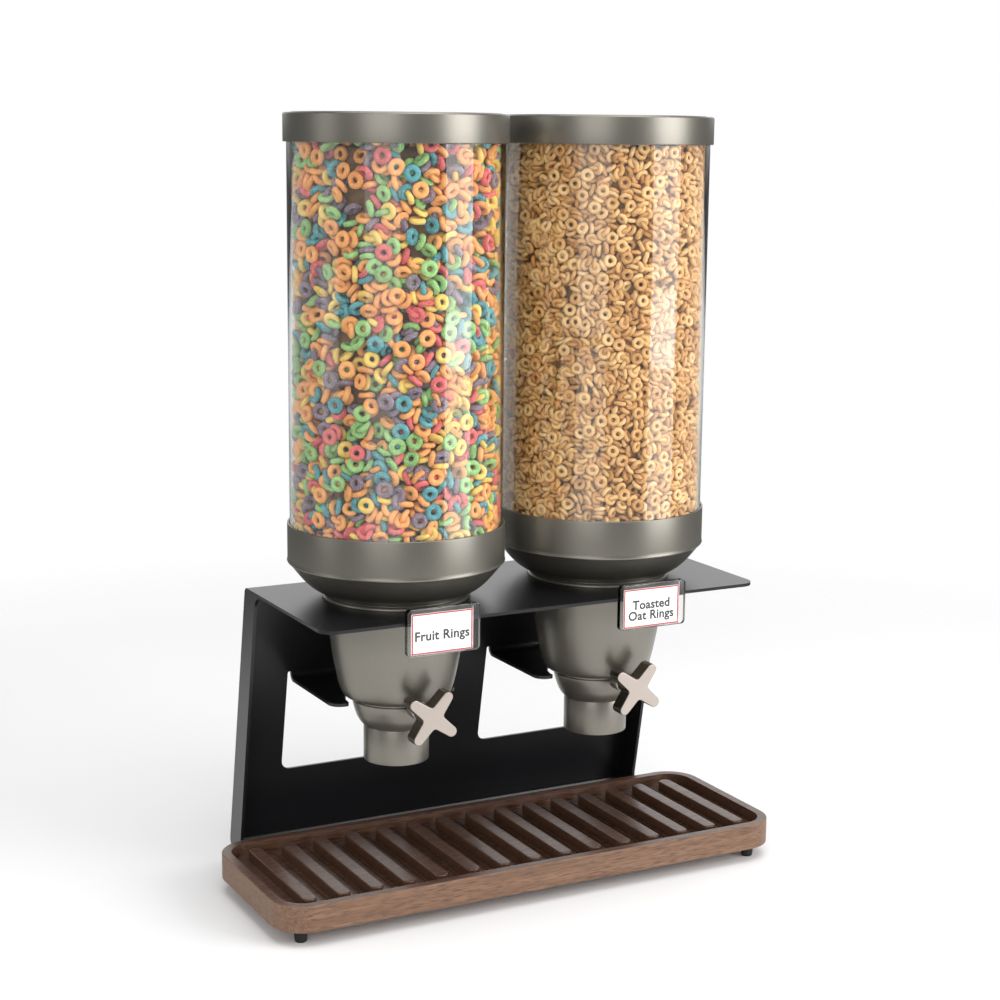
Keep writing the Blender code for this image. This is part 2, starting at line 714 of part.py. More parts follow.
# ---------------------------------------------------------------- label holder
def make_label(tag, place):
    """A clear holder grips the shelf's front edge; its card drops into a pocket from above."""
    x, y, _ = place
    x += HOLDER_OFFSET
    half, height = HOLDER_WIDTH / 2, HOLDER_HEIGHT
    outline = rounded([
        (-half, 0, HOLDER_CORNER),
        (half, 0, HOLDER_CORNER),
        (half, height, HOLDER_CORNER),
        (-half, height, HOLDER_CORNER),
    ], count=4)
    facing = (math.radians(90), 0, 0)
    middle = HOLDER_BACK - HOLDER_DEPTH / 2
    holder = to_mesh(
        plate(f"label_holder_{tag}", [outline], HOLDER_DEPTH, "clear_acrylic",
              (x, y + middle, HOLDER_BOTTOM), facing)
    )
    lip_depth, lip_thick, lip_width = 6.0, 1.6, 40.0
    lip_y = y + HOLDER_BACK + lip_depth / 2 - 0.5
    upper = SHELF_TOP + GAP + lip_thick / 2
    lower = SHELF_TOP - SHEET - GAP - lip_thick / 2
    join(
        holder,
        block(f"upper_lip_{tag}", (lip_width, lip_depth, lip_thick), None, (x, lip_y, upper)),
        block(f"lower_lip_{tag}", (lip_width, lip_depth, lip_thick), None, (x, lip_y, lower)),
    )
    front_wall, slot = 1.2, 1.2
    slot_y = y + HOLDER_BACK - HOLDER_DEPTH + front_wall + slot / 2
    slot_bottom = HOLDER_BOTTOM + 1.0
    slot_height = HOLDER_HEIGHT + 4.0
    card_x = x + CARD_OFFSET
    cut(
        holder,
        block(f"card_slot_{tag}", (CARD_WIDTH + 1.0, slot, slot_height), None,
              (card_x, slot_y, slot_bottom + slot_height / 2)),
    )
    card_low = slot_bottom + GAP
    block(f"label_card_{tag}", (CARD_WIDTH, CARD_THICK, CARD_HEIGHT), "white_card",
          (card_x, slot_y, card_low + CARD_HEIGHT / 2))


# ---------------------------------------------------------------- assembly
axes = {"left": -SPACING / 2, "right": SPACING / 2}
make_shelf(axes.values())
make_back_panel(axes.values())
make_base_plate()
make_cheek("left_cheek", -1)
make_cheek("right_cheek", 1)
make_tray()
make_feet()
make_tray_screws()
for tag, axis_x in axes.items():
    place = (axis_x, AXIS_Y, 0.0)
    make_cradle(f"cradle_{tag}", axis_x)
    make_canister(tag, place)
    make_cup(tag, place)
    make_housing(tag, place)
    make_spout(tag, place)
    make_insert(tag, place)
    make_bushings(tag, place)
    make_rotor(tag, place)
    make_label(tag, place)
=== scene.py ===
# %% [markdown]
# # A twin cereal dispenser
# Two clear canisters of cereal stand over two knob-turned valves, on a stand folded from black sheet steel,
# with a ribbed walnut tray under the spouts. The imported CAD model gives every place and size. This script only
# adds what the eye meets: round edges, folds, grain, lacquer, clear acrylic and a few thousand rings of cereal.

# %% Load the frame
import math

import bmesh
import bpy
import numpy as np
from mathutils import Matrix, Vector


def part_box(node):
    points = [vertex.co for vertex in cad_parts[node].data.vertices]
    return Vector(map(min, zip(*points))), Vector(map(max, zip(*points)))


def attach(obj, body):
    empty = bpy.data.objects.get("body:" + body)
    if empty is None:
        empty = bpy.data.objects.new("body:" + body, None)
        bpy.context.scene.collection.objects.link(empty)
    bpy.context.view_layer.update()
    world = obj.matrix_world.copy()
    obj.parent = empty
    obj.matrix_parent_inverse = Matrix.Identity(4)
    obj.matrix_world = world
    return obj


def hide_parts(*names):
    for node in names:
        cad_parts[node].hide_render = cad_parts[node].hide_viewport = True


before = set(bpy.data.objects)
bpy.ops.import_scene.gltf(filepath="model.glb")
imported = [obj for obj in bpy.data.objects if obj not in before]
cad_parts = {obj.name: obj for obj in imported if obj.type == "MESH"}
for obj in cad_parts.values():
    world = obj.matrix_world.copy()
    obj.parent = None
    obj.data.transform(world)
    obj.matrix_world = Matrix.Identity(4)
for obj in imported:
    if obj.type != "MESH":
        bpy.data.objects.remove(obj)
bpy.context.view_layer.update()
SIDES = ("left", "right")
MM = 0.001  # metres


# %% [markdown]
# ## Measures
# Shapes below are drawn in millimetres, because that is how a maker thinks of them. Each one starts from the box
# of the CAD piece that it stands for, so that nothing has to be fitted by eye.

# %% Millimetre boxes
def box_mm(node):
    """Lowest and highest corner of a CAD piece, in millimetres."""
    low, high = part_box(node)
    return low * 1000, high * 1000


axis = {}
for side in SIDES:
    low, high = box_mm(f"canister_{side}")
    axis[side] = ((low.x + high.x) / 2, (low.y + high.y) / 2)
wheel_z = sum(corner.z for corner in box_mm("axle_left")) / 2
print("canister axes:", axis, "knob height:", round(wheel_z, 2))

# %% [markdown]
# ## Camera
# A long lens stands a little to the left of the dispenser and looks slightly down on it. The three turns are put
# into one matrix, whose columns are the camera's right, up and backward directions.

# %% Camera
YAW, PITCH, ROLL = 0.4874, 0.1854, 0.0102
CAMERA_AT = Vector((-0.8547, -1.62709, 0.7058))

forward = Vector((math.sin(YAW) * math.cos(PITCH), math.cos(YAW) * math.cos(PITCH), -math.sin(PITCH)))
sideways = Vector((math.cos(YAW), -math.sin(YAW), 0))
upright = sideways.cross(forward)
right = sideways * math.cos(ROLL) + upright * math.sin(ROLL)
up = upright * math.cos(ROLL) - sideways * math.sin(ROLL)
camera = bpy.data.objects.new("camera", bpy.data.cameras.new("camera"))
camera.data.lens = 71.06
camera.data.sensor_width = 36
camera.data.clip_end = 30
camera.matrix_world = Matrix.Translation(CAMERA_AT) @ Matrix((right, up, -forward)).transposed().to_4x4()
bpy.context.scene.collection.objects.link(camera)
bpy.context.scene.camera = camera
print("camera looks along", [round(v, 3) for v in forward])


# %% [markdown]
# ## How materials are written here
# Each material is one Principled shader with a few nodes that vary its colour, roughness and surface. Colours are
# the hex values a designer would pick, so one function turns them to the linear values that light needs. One
# other function adds any node, with its settings and with values or links for its sockets.

# %% Colour and node helpers
def linear(hex_colour):
    """An sRGB hex colour as the linear colour that shaders use."""
    channels = [int(hex_colour[i : i + 2], 16) / 255 for i in (1, 3, 5)]
    return [c / 12.92 if c <= 0.04045 else ((c + 0.055) / 1.055) ** 2.4 for c in channels] + [1.0]


def node(tree, kind, settings=(), sockets=()):
    """Adds one node. Sockets get a value, or a link from another node's output."""
    made = tree.nodes.new("ShaderNode" + kind)
    for name, value in dict(settings).items():
        setattr(made, name, value)
    for name, value in dict(sockets).items():
        if isinstance(value, bpy.types.NodeSocket):
            tree.links.new(value, made.inputs[name])
        else:
            made.inputs[name].default_value = value
    return made


def new_material(name):
    """An empty material with its output, ready for a shader."""
    material = bpy.data.materials.new(name)
    material.use_nodes = True
    material.node_tree.nodes.clear()
    return material, material.node_tree, node(material.node_tree, "OutputMaterial")


def place(tree, stretch=(1, 1, 1)):
    """Millimetre coordinates of the piece, stretched as a grain needs."""
    where = node(tree, "TexCoord")
    scaled = [1000.0 * s for s in stretch]
    mapped = node(tree, "Mapping", (), {"Vector": where.outputs["Object"], "Scale": scaled})
    return mapped.outputs["Vector"]


# %% [markdown]
# ## Pewter lacquer on moulded ABS
# The lids, cups and valve shells are moulded in ABS and sprayed with a metallic lacquer. Fine aluminium flakes
# give a soft sheen that is bright where it faces the light and falls off to a warm dark grey at the sides. The
# flakes are about 0.15 mm, too fine to show, so they are drawn at about 0.6 mm, and a slow wave stands for the
# slight orange peel of sprayed paint.

# %% Pewter lacquer
def pewter_lacquer():
    material, tree, out = new_material("pewter_lacquer_on_abs")
    at = place(tree)
    flakes = node(tree, "TexNoise", (), {"Vector": at, "Scale": 1.6, "Detail": 2.0})
    peel = node(tree, "TexNoise", (), {"Vector": at, "Scale": 0.25, "Detail": 1.0})
    tone = node(tree, "Mix", {"data_type": "RGBA"}, {
        0: flakes.outputs[0], 6: linear("#7d7a72"), 7: linear("#949087")})
    sheen = node(tree, "MapRange", (), {
        "Value": flakes.outputs[0], "To Min": 0.30, "To Max": 0.42})
    height = node(tree, "Math", {"operation": "MULTIPLY_ADD"}, {
        0: flakes.outputs[0], 1: 0.15, 2: peel.outputs[0]})
    bump = node(tree, "Bump", (), {"Height": height.outputs[0], "Strength": 0.05, "Distance": 0.0004})
    shader = node(tree, "BsdfPrincipled", (), {
        "Base Color": tone.outputs[2], "Metallic": 0.82, "Roughness": sheen.outputs[0],
        "Normal": bump.outputs[0]})
    tree.links.new(shader.outputs[0], out.inputs[0])
    return material


pewter = pewter_lacquer()
print("material:", pewter.name)


# %% [markdown]
# ## Mottled surfaces
# Most of the other materials are one stuff with a fine grain. A single noise, with its scale in grains per
# millimetre, moves the colour between two tones, varies the roughness, and lifts the surface by a fraction of a
# millimetre.

# %% Mottled surface
def mottled(name, tones, roughness, scale, relief, detail=3.0, height=0.2, metallic=0.0, ior=1.5):
    material, tree, out = new_material(name)
    grain = node(tree, "TexNoise", (), {"Vector": place(tree), "Scale": scale, "Detail": detail})
    tone = node(tree, "Mix", {"data_type": "RGBA"}, {
        0: grain.outputs[0], 6: linear(tones[0]), 7: linear(tones[1])})
    rough = node(tree, "MapRange", (), {
        "Value": grain.outputs[0], "To Min": roughness[0], "To Max": roughness[1]})
    bump = node(tree, "Bump", (), {
        "Height": grain.outputs[0], "Strength": relief, "Distance": height * MM})
    shader = node(tree, "BsdfPrincipled", (), {
        "Base Color": tone.outputs[2], "Metallic": metallic, "Roughness": rough.outputs[0],
        "Normal": bump.outputs[0], "IOR": ior})
    tree.links.new(shader.outputs[0], out.inputs[0])
    return material


# %% [markdown]
# ## Black powder coat on sheet steel
# The stand is phosphated steel with a baked polyester powder. It has a satin face with a fine, even texture of
# about half a millimetre, which spreads the reflections into a soft grey.

# %% Black powder coat
black_steel = mottled("black_powder_coat_on_steel", ("#141416", "#1f1f22"), (0.24, 0.36), 1.8, 0.25, ior=1.52)
print("material:", black_steel.name)

# %% [markdown]
# ## Clear cast acrylic
# The canisters and the label holders are acrylic, which is a little clearer than glass and bends light by 1.49.
# Lamps would be blocked by a refracting wall, so shadow rays pass it as if it were not there, and the cereal
# behind it is lit. A faint haze from handling varies the roughness.

# %% Clear acrylic
def clear_acrylic(name, tint, low, high):
    material, tree, out = new_material(name)
    at = place(tree)
    haze = node(tree, "TexNoise", (), {"Vector": at, "Scale": 0.03, "Detail": 2.0})
    rough = node(tree, "MapRange", (), {"Value": haze.outputs[0], "To Min": low, "To Max": high})
    clear = node(tree, "BsdfPrincipled", (), {
        "Base Color": linear(tint), "Roughness": rough.outputs[0], "IOR": 1.49,
        "Transmission Weight": 1.0, "Specular IOR Level": 0.3})
    through = node(tree, "BsdfTransparent", (), {"Color": linear("#f2f7f6")})
    ray = node(tree, "LightPath")
    both = node(tree, "MixShader", (), {
        0: ray.outputs["Is Shadow Ray"], 1: clear.outputs[0], 2: through.outputs[0]})
    tree.links.new(both.outputs[0], out.inputs[0])
    return material


acrylic = clear_acrylic("clear_cast_acrylic", "#f7fbfa", 0.0, 0.05)
hazy_acrylic = clear_acrylic("clear_moulded_acrylic", "#fbfbfa", 0.02, 0.06)
print("materials:", acrylic.name, hazy_acrylic.name)


# %% [markdown]
# ## Satin nickel on cast zinc
# The knob is a die casting. Its front is brushed flat and plated in a warm satin nickel, while its sides are a
# much darker copy of the same nickel, painted shade, with a mottle of a few millimetres.

# %% Satin nickel
METAL = dict(relief=0.08, detail=4.0, height=0.3, metallic=1.0)
nickel_face = mottled("satin_nickel_brushed_face", ("#b8ada5", "#cdc2ba"), (0.36, 0.48), 0.9, **METAL)
# The darker copy on the knob's sides is painted shade.
nickel_painted_shade = mottled("satin_nickel_sides_painted_shade", ("#5d574d", "#8a8377"), (0.30, 0.48), 0.5, **METAL)
turned_steel = mottled("turned_stainless_steel", ("#a9abad", "#c9cbcd"), (0.20, 0.32), 1.5, **METAL)
print("materials:", nickel_face.name, nickel_painted_shade.name, turned_steel.name)

# %% [markdown]
# ## Walnut
# The tray is milled from a walnut board whose grain runs along its length. Growth rings show as dark streaks a
# few millimetres apart, stretched about twenty times along the board, and pores as fine dark dashes half a
# millimetre wide. The outer edge is oiled and lighter. The milled pocket is a darker walnut under lacquer, which
# gives the ribs their grey gloss.

# %% Walnut
def walnut(name, dark, middle, light, gloss_low, gloss_high, coat):
    material, tree, out = new_material(name)
    at = place(tree, (0.035, 1, 1))
    bend = node(tree, "TexNoise", (), {"Vector": at, "Scale": 0.05, "Detail": 2.0})
    warped = node(tree, "VectorMath", {"operation": "MULTIPLY_ADD"}, {
        0: bend.outputs["Color"], 1: (9.0, 9.0, 9.0), 2: at})
    rings = node(tree, "TexNoise", (), {"Vector": warped.outputs[0], "Scale": 0.30, "Detail": 6.0,
                                        "Roughness": 0.62})
    fine = place(tree, (0.05, 1, 1))
    pores = node(tree, "TexNoise", (), {"Vector": fine, "Scale": 1.4, "Detail": 2.0})
    streak = node(tree, "MapRange", (), {
        "Value": rings.outputs[0], "From Min": 0.36, "From Max": 0.64})
    dash = node(tree, "MapRange", (), {
        "Value": pores.outputs[0], "From Min": 0.38, "From Max": 0.50})
    wood = node(tree, "Mix", {"data_type": "RGBA"}, {
        0: streak.outputs[0], 6: linear(middle), 7: linear(light)})
    tone = node(tree, "Mix", {"data_type": "RGBA"}, {
        0: dash.outputs[0], 6: linear(dark), 7: wood.outputs[2]})
    gloss = node(tree, "MapRange", (), {
        "Value": pores.outputs[0], "To Min": gloss_high, "To Max": gloss_low})
    bump = node(tree, "Bump", (), {"Height": dash.outputs[0], "Strength": 0.25, "Distance": 0.0002})
    shader = node(tree, "BsdfPrincipled", (), {
        "Base Color": tone.outputs[2], "Roughness": gloss.outputs[0], "Normal": bump.outputs[0],
        "IOR": 1.5, "Coat Weight": coat, "Coat Roughness": 0.24})
    tree.links.new(shader.outputs[0], out.inputs[0])
    return material


walnut_edge = walnut("walnut_oiled", "#5f4533", "#73543f", "#8c6a53", 0.40, 0.60, 0.0)
# The pocket takes a darker walnut than the edge.
walnut_pocket = walnut("walnut_pocket_darker_lacquered", "#352117", "#4d3324", "#684937", 0.34, 0.50, 0.35)
print("materials:", walnut_edge.name, walnut_pocket.name)


# %% [markdown]
# ## Plain moulded plastics, rubber and card
# The small pieces are plain: black rubber feet, grey silicone seals and paddles, ivory nylon bushings, a white
# card with red and black print. Each keeps a small mottle, so that none is a single flat colour.

# %% Plain mouldings and card
rubber = mottled("black_rubber_moulded", ("#0e0e0f", "#1b1b1c"), (0.60, 0.80), 1.2, 0.3, ior=1.52)
silicone = mottled("grey_silicone_moulded", ("#8f8f8c", "#a5a5a1"), (0.50, 0.68), 0.8, 0.15, ior=1.41)
nylon = mottled("ivory_nylon_moulded", ("#d6d1c1", "#e4dfd0"), (0.38, 0.52), 0.8, 0.1, ior=1.53)
card_stock = mottled("white_card_stock", ("#f1efec", "#fbfaf8"), (0.75, 0.90), 2.0, 0.1)
red_ink = mottled("red_printed_ink", ("#a51f2a", "#bb333d"), (0.60, 0.75), 2.0, 0.05)
black_ink = mottled("black_printed_ink", ("#1c1a1c", "#2c2a2c"), (0.55, 0.70), 2.0, 0.05)
print("plain materials:", [m.name for m in (rubber, silicone, nylon, card_stock, red_ink, black_ink)])


# %% [markdown]
# ## Cereal
# Puffed rings are baked dough with a rough, porous face. The fruit rings carry a sugar glaze that dries in pale
# specks of about 0.4 mm, drawn here at 0.8 mm so that they show. Oat rings are plain and toasted, darker on some
# sides than on others. Each ring is its own island of mesh, so a random number per island shifts its tone.

# %% Cereal dough
def cereal(name, deep, body, specks, speck_share):
    material, tree, out = new_material(name)
    at = place(tree)
    porous = node(tree, "TexNoise", (), {"Vector": at, "Scale": 0.9, "Detail": 3.0, "Roughness": 0.6})
    sugar = node(tree, "TexNoise", (), {"Vector": at, "Scale": 1.25, "Detail": 1.0})
    toast = node(tree, "TexNoise", (), {"Vector": at, "Scale": 0.12, "Detail": 1.0})
    island = node(tree, "NewGeometry")
    shift = node(tree, "Math", {"operation": "MULTIPLY_ADD"}, {
        0: island.outputs["Random Per Island"], 1: 0.45, 2: toast.outputs[0]})
    share = node(tree, "MapRange", (), {
        "Value": shift.outputs[0], "From Min": 0.40, "From Max": 0.95})
    dough = node(tree, "Mix", {"data_type": "RGBA"}, {
        0: share.outputs[0], 6: linear(deep), 7: linear(body)})
    grains = node(tree, "MapRange", (), {
        "Value": sugar.outputs[0], "From Min": 0.66 - speck_share, "From Max": 0.74 - speck_share,
        "To Max": 0.75})
    tone = node(tree, "Mix", {"data_type": "RGBA"}, {
        0: grains.outputs[0], 6: dough.outputs[2], 7: linear(specks)})
    bump = node(tree, "Bump", (), {"Height": porous.outputs[0], "Strength": 0.55, "Distance": 0.0006})
    shader = node(tree, "BsdfPrincipled", (), {
        "Base Color": tone.outputs[2], "Roughness": 0.72, "Normal": bump.outputs[0], "IOR": 1.45})
    tree.links.new(shader.outputs[0], out.inputs[0])
    return material


FRUIT_RINGS = {
    "orange": (0.37, "#cf7f38", "#ee9c54", "#f7c896"),
    "yellow": (0.15, "#d3a23a", "#eac05a", "#f4dfa4"),
    "green": (0.14, "#6a9448", "#8db86c", "#c4dcae"),
    "teal": (0.12, "#2b6f78", "#468d96", "#9cc6c9"),
    "mauve": (0.12, "#5d4857", "#7c6575", "#bcaab6"),
    "red": (0.10, "#b83b42", "#d6595a", "#eba29c"),
}
OAT_RINGS = {
    "pale": (0.34, "#cf9a5e", "#e8bb83", "#f2d3a6"),
    "golden": (0.40, "#c48a4e", "#e0b077", "#ecc594"),
    "toasted": (0.26, "#b0773e", "#d29b60", "#e0b47f"),
}
fruit_dough = {tint: cereal(f"fruit_ring_{tint}", *look[1:], 0.10) for tint, look in FRUIT_RINGS.items()}
oat_dough = {tint: cereal(f"oat_ring_{tint}", *look[1:], 0.02) for tint, look in OAT_RINGS.items()}
# These darker tones are painted shade, for the heap behind the packed rings.
fruit_shade = cereal("fruit_rings_in_shade", "#5a4029", "#7f5936", "#98744e", 0.0)
oat_shade = cereal("oat_rings_in_shade", "#7c5630", "#a87746", "#ba8a55", 0.0)
print("cereal tints:", list(FRUIT_RINGS), list(OAT_RINGS))


# %% [markdown]
# ## Shaping helpers
# Most pieces are turned or cut from sheet. A turned piece is an outline swept round an axis, and a sheet piece is
# an outline with holes, given a thickness. Corners are rounded in the outline itself, so that every edge catches
# a line of light, as a real moulded or milled edge does.

# %% Outlines
def arc(cx, cy, radius, start, end, count):
    """Points on an arc, with angles in degrees and both ends included."""
    turns = np.radians(np.linspace(start, end, count + 1))
    return [(cx + radius * math.cos(t), cy + radius * math.sin(t)) for t in turns]


def rounded(corners, count=5):
    """A closed outline through (x, y) or (x, y, radius) corners, each rounded to its radius."""
    outline = []
    for i, corner in enumerate(corners):
        x, y = corner[:2]
        radius = corner[2] if len(corner) > 2 else 0
        if not radius:
            outline.append((x, y))
            continue
        before, after = corners[i - 1], corners[(i + 1) % len(corners)]
        to_before = math.atan2(before[1] - y, before[0] - x)
        to_after = math.atan2(after[1] - y, after[0] - x)
        opening = (to_after - to_before + math.pi) % (2 * math.pi) - math.pi
        reach = radius / math.sin(abs(opening) / 2)
        middle = to_before + opening / 2
        cx, cy = x + reach * math.cos(middle), y + reach * math.sin(middle)
        sweep = math.pi - abs(opening)
        first = to_before - math.copysign(math.pi / 2, opening)
        for k in range(count + 1):
            turn = first - math.copysign(sweep, opening) * k / count
            outline.append((cx + radius * math.cos(turn), cy + radius * math.sin(turn)))
    return outline


def rectangle(left, foot, right, top, radius=0, count=5):
    """A rectangle with its four corners rounded alike."""
    return rounded([(left, foot, radius), (right, foot, radius), (right, top, radius), (left, top, radius)], count)


def flowing(points, steps=4):
    """A smooth curve that passes through every point."""
    ends = [points[0], *points, points[-1]]
    curve = []
    for a, b, c, d in zip(ends, ends[1:], ends[2:], ends[3:]):
        for k in range(steps):
            t = k / steps
            weights = ((-t + 2 * t**2 - t**3) / 2, (2 - 5 * t**2 + 3 * t**3) / 2,
                       (t + 4 * t**2 - 3 * t**3) / 2, (t**3 - t**2) / 2)
            curve.append(tuple(sum(w * p[i] for w, p in zip(weights, (a, b, c, d))) for i in (0, 1)))
    return curve + [tuple(points[-1])]


# %% Meshes
def finish_piece(obj, materials, body, stands_for=(), sharp=32, flat=False):
    """Gives a piece its materials and smooth shading, and lets it ride on its CAD body."""
    obj.data.materials.clear()
    for material in materials:
        obj.data.materials.append(material)
    obj.data.shade_smooth()
    obj.data.set_sharp_from_angle(angle=math.radians(sharp))
    if flat:
        obj.modifiers.new("flat faces stay flat", "WEIGHTED_NORMAL").keep_sharp = True
    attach(obj, body)
    if stands_for:
        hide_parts(*stands_for)
    return obj


def clean(mesh):
    """Joins points that lie on each other, and turns all faces outwards."""
    shape = bmesh.new()
    shape.from_mesh(mesh)
    bmesh.ops.remove_doubles(shape, verts=shape.verts, dist=1e-7)
    bmesh.ops.recalc_face_normals(shape, faces=shape.faces)
    shape.to_mesh(mesh)
    shape.free()


def linked(name, data):
    """A new object in the scene."""
    obj = bpy.data.objects.new(name, data)
    bpy.context.scene.collection.objects.link(obj)
    return obj


def from_mesh(name, points, faces):
    """A mesh object from millimetre points. Faces are lists of point numbers."""
    mesh = bpy.data.meshes.new(name)
    mesh.from_pydata([Vector(p) * MM for p in points], [], faces)
    clean(mesh)
    return linked(name, mesh)


def turned(name, outline, at, steps=144, along="z"):
    """Sweeps a closed (radius, height) outline round an axis through at. Heights run along z, or along y."""
    turns = np.linspace(0, 2 * math.pi, steps, endpoint=False)
    ring = [(math.cos(t), math.sin(t)) for t in turns]
    count = len(outline)
    if along == "z":
        points = [(at[0] + r * c, at[1] + r * s, at[2] + h) for c, s in ring for r, h in outline]
    else:
        points = [(at[0] + r * c, at[1] + h, at[2] + r * s) for c, s in ring for r, h in outline]
    faces = []
    for i in range(steps):
        a, b = i * count, (i + 1) % steps * count
        for j in range(count):
            k = (j + 1) % count
            if outline[j][0] < 1e-6 and outline[k][0] < 1e-6:
                continue
            faces.append((a + j, a + k, b + k, b + j))
    return from_mesh(name, points, faces)


def rod(name, radius, first, last, at, steps, along="z"):
    """A plain cylinder between two heights, mostly used as a cutter."""
    return turned(name, [(0, first), (radius, first), (radius, last), (0, last)], at, steps, along)


def as_mesh(obj):
    """Applies whatever the object is built from, and returns one plain mesh object."""
    bpy.context.view_layer.update()
    graph = bpy.context.evaluated_depsgraph_get()
    mesh = bpy.data.meshes.new_from_object(obj.evaluated_get(graph))
    mesh.transform(obj.matrix_world)
    clean(mesh)
    name = obj.name
    bpy.data.objects.remove(obj, do_unlink=True)
    return linked(name, mesh)


FACING = {
    "up": (0, 0, 0),
    "front": (math.radians(90), 0, 0),
    "side": (math.radians(90), 0, math.radians(90)),
}


def sheet_piece(name, outlines, thickness, at, facing="up", soft_edge=0.0, segments=2):
    """A flat piece of an outline and its holes. Its outline is drawn on the plane that it faces from."""
    curve = bpy.data.curves.new(name, "CURVE")
    curve.dimensions = "2D"
    curve.fill_mode = "BOTH"
    curve.extrude = (thickness / 2 - soft_edge) * MM
    curve.bevel_depth = soft_edge * MM
    curve.bevel_resolution = segments - 1
    curve.offset = -soft_edge * MM
    for outline in outlines:
        spline = curve.splines.new("POLY")
        spline.points.add(len(outline) - 1)
        for point, (x, y) in zip(spline.points, outline):
            point.co = (x * MM, y * MM, 0, 1)
        spline.use_cyclic_u = True
    obj = linked(name, curve)
    obj.location = Vector(at) * MM
    obj.rotation_euler = FACING[facing]
    return as_mesh(obj)


def carve(obj, tools, operation="DIFFERENCE"):
    """Cuts, joins or trims a piece with helper shapes, which are used up."""
    for tool in tools:
        step = obj.modifiers.new(tool.name, "BOOLEAN")
        step.operation = operation
        step.solver = "EXACT"
        step.object = tool
    solid = as_mesh(obj)
    for tool in tools:
        bpy.data.objects.remove(tool, do_unlink=True)
    return solid


def soften(obj, width, segments=2, angle=40):
    """Rounds the sharp edges that are left, by a small bevel."""
    step = obj.modifiers.new("soft edges", "BEVEL")
    step.width = width * MM
    step.segments = segments
    step.limit_method = "ANGLE"
    step.angle_limit = math.radians(angle)
    step.use_clamp_overlap = True
    return as_mesh(obj)


print("helpers ready")

# %% [markdown]
# ## The folded stand
# One blank of 3 mm steel is cut, folded and welded: the shelf in front, the leaning back panel, two side cheeks
# and a base under the tray. A strip is drawn as the middle line of the sheet, with a bend radius at each fold,
# and given its thickness by stepping to both sides of that line. Windows, holes and rounded corners are cut from
# it afterwards, as the laser would, and the tab left in each window is folded forward to hold a valve.

# %% Sheet strip
SHEET = 3.0
shelf_low, shelf_high = box_mm("top_shelf")
base_low, base_high = box_mm("base_plate")
stand_half = shelf_high.x
shelf_z, base_z = shelf_high.z - SHEET / 2, base_high.z - SHEET / 2
lean = math.atan((base_high.y - shelf_high.y) / (shelf_high.z - base_high.z))


def panel_rear(z):
    """Y of the back panel's rear face at a height."""
    return shelf_high.y + math.tan(lean) * (shelf_high.z - z)


def panel_middle(z):
    return panel_rear(z) - SHEET / 2 / math.cos(lean)


def bent_strip(path, start=SHEET):
    """The outline of a strip of sheet whose middle line follows the path. Its start may be thinner."""
    path = [Vector(p) for p in path]
    upper, lower = [], []
    for i, point in enumerate(path):
        ahead = path[min(i + 1, len(path) - 1)] - path[max(i - 1, 0)]
        normal = Vector((-ahead.y, ahead.x)).normalized() * (SHEET if i else start) / 2
        upper.append(tuple(point + normal))
        lower.append(tuple(point - normal))
    return upper + lower[::-1]


def bend(before, corner, after, radius, count=8):
    """The points of one fold: an arc of that radius, fitted into a corner of the middle line."""
    return rounded([before, (*corner, radius), after], count)[1:-1]


OVER = 1.0  # every blank is drawn this much too wide, and trimmed to the plan at the end
shelf_front = (shelf_low.y - OVER, shelf_z)
shelf_fold = (panel_middle(shelf_z), shelf_z)
base_fold = (panel_middle(base_z), base_z)
base_front = (base_low.y, base_z)
middle_line = [shelf_front]
middle_line += bend(shelf_front, shelf_fold, base_fold, 4.5)
middle_line += bend(shelf_fold, base_fold, base_front, 9.0)
middle_line.append(base_front)
stand = sheet_piece("folded_stand", [bent_strip(middle_line)], 2 * (stand_half + OVER), (0, 0, 0), "side")
print("lean, degrees:", round(math.degrees(lean), 2), "points in the strip:", len(middle_line))

# %% Cheeks
CHEEK = 27.2
FILLET = 15.0


def cheek_outline():
    """A side flange: it follows the panel, and sweeps into the shelf above and the base below."""
    top, foot = shelf_z, base_z
    inner_top, inner_foot = panel_rear(top) - CHEEK, panel_rear(foot) - CHEEK
    return rounded([
        (panel_rear(foot) - 5.0, foot),
        (panel_rear(foot) - SHEET * 0.9, foot + 7.0),
        (panel_rear(top) - SHEET * 0.9, top - 4.0),
        (panel_rear(top) - 4.5, top),
        (inner_top - 18.0, top),
        (inner_top - 18.0, top - SHEET / 2 - 0.2),
        (inner_top + 1.0, top - SHEET / 2 - 0.6, FILLET),
        (inner_foot - 1.0, foot + SHEET / 2 + 0.6, FILLET),
        (inner_foot - 18.0, foot + SHEET / 2 + 0.2),
        (inner_foot - 18.0, foot),
    ], 8)


cheeks = [
    sheet_piece(f"cheek_{x:+.0f}", [cheek_outline()], SHEET + OVER,
                (x * (stand_half + (OVER - SHEET) / 2), 0, 0), "side")
    for x in (-1, 1)
]
stand = carve(stand, cheeks, "UNION")
print("stand with cheeks:", len(stand.data.vertices), "points")

# %% Windows, holes and corners
WINDOW_HALF, WINDOW_FOOT, WINDOW_TOP, HOLE = 67.5, 88.4, 192.4, 64.6
SHELF_CORNER = 14.0
tools = []
for side in SIDES:
    x, y = axis[side]
    window = rounded([
        (x - WINDOW_HALF, WINDOW_FOOT, 9.0), (x + WINDOW_HALF, WINDOW_FOOT, 9.0),
        (x + WINDOW_HALF, WINDOW_TOP, 1.6), (x - WINDOW_HALF, WINDOW_TOP, 1.6),
    ], 6)
    tools.append(sheet_piece(f"window_{side}", [window], 90.0, (0, 105.0, 0), "front"))
    tools.append(rod(f"hole_{side}", HOLE, 20, -20, (x, y, shelf_z), 96))
stand = carve(stand, tools)
plan = rounded([
    (-stand_half, shelf_low.y, SHELF_CORNER),
    (stand_half, shelf_low.y, SHELF_CORNER),
    (stand_half, base_high.y + 20),
    (-stand_half, base_high.y + 20),
], 8)
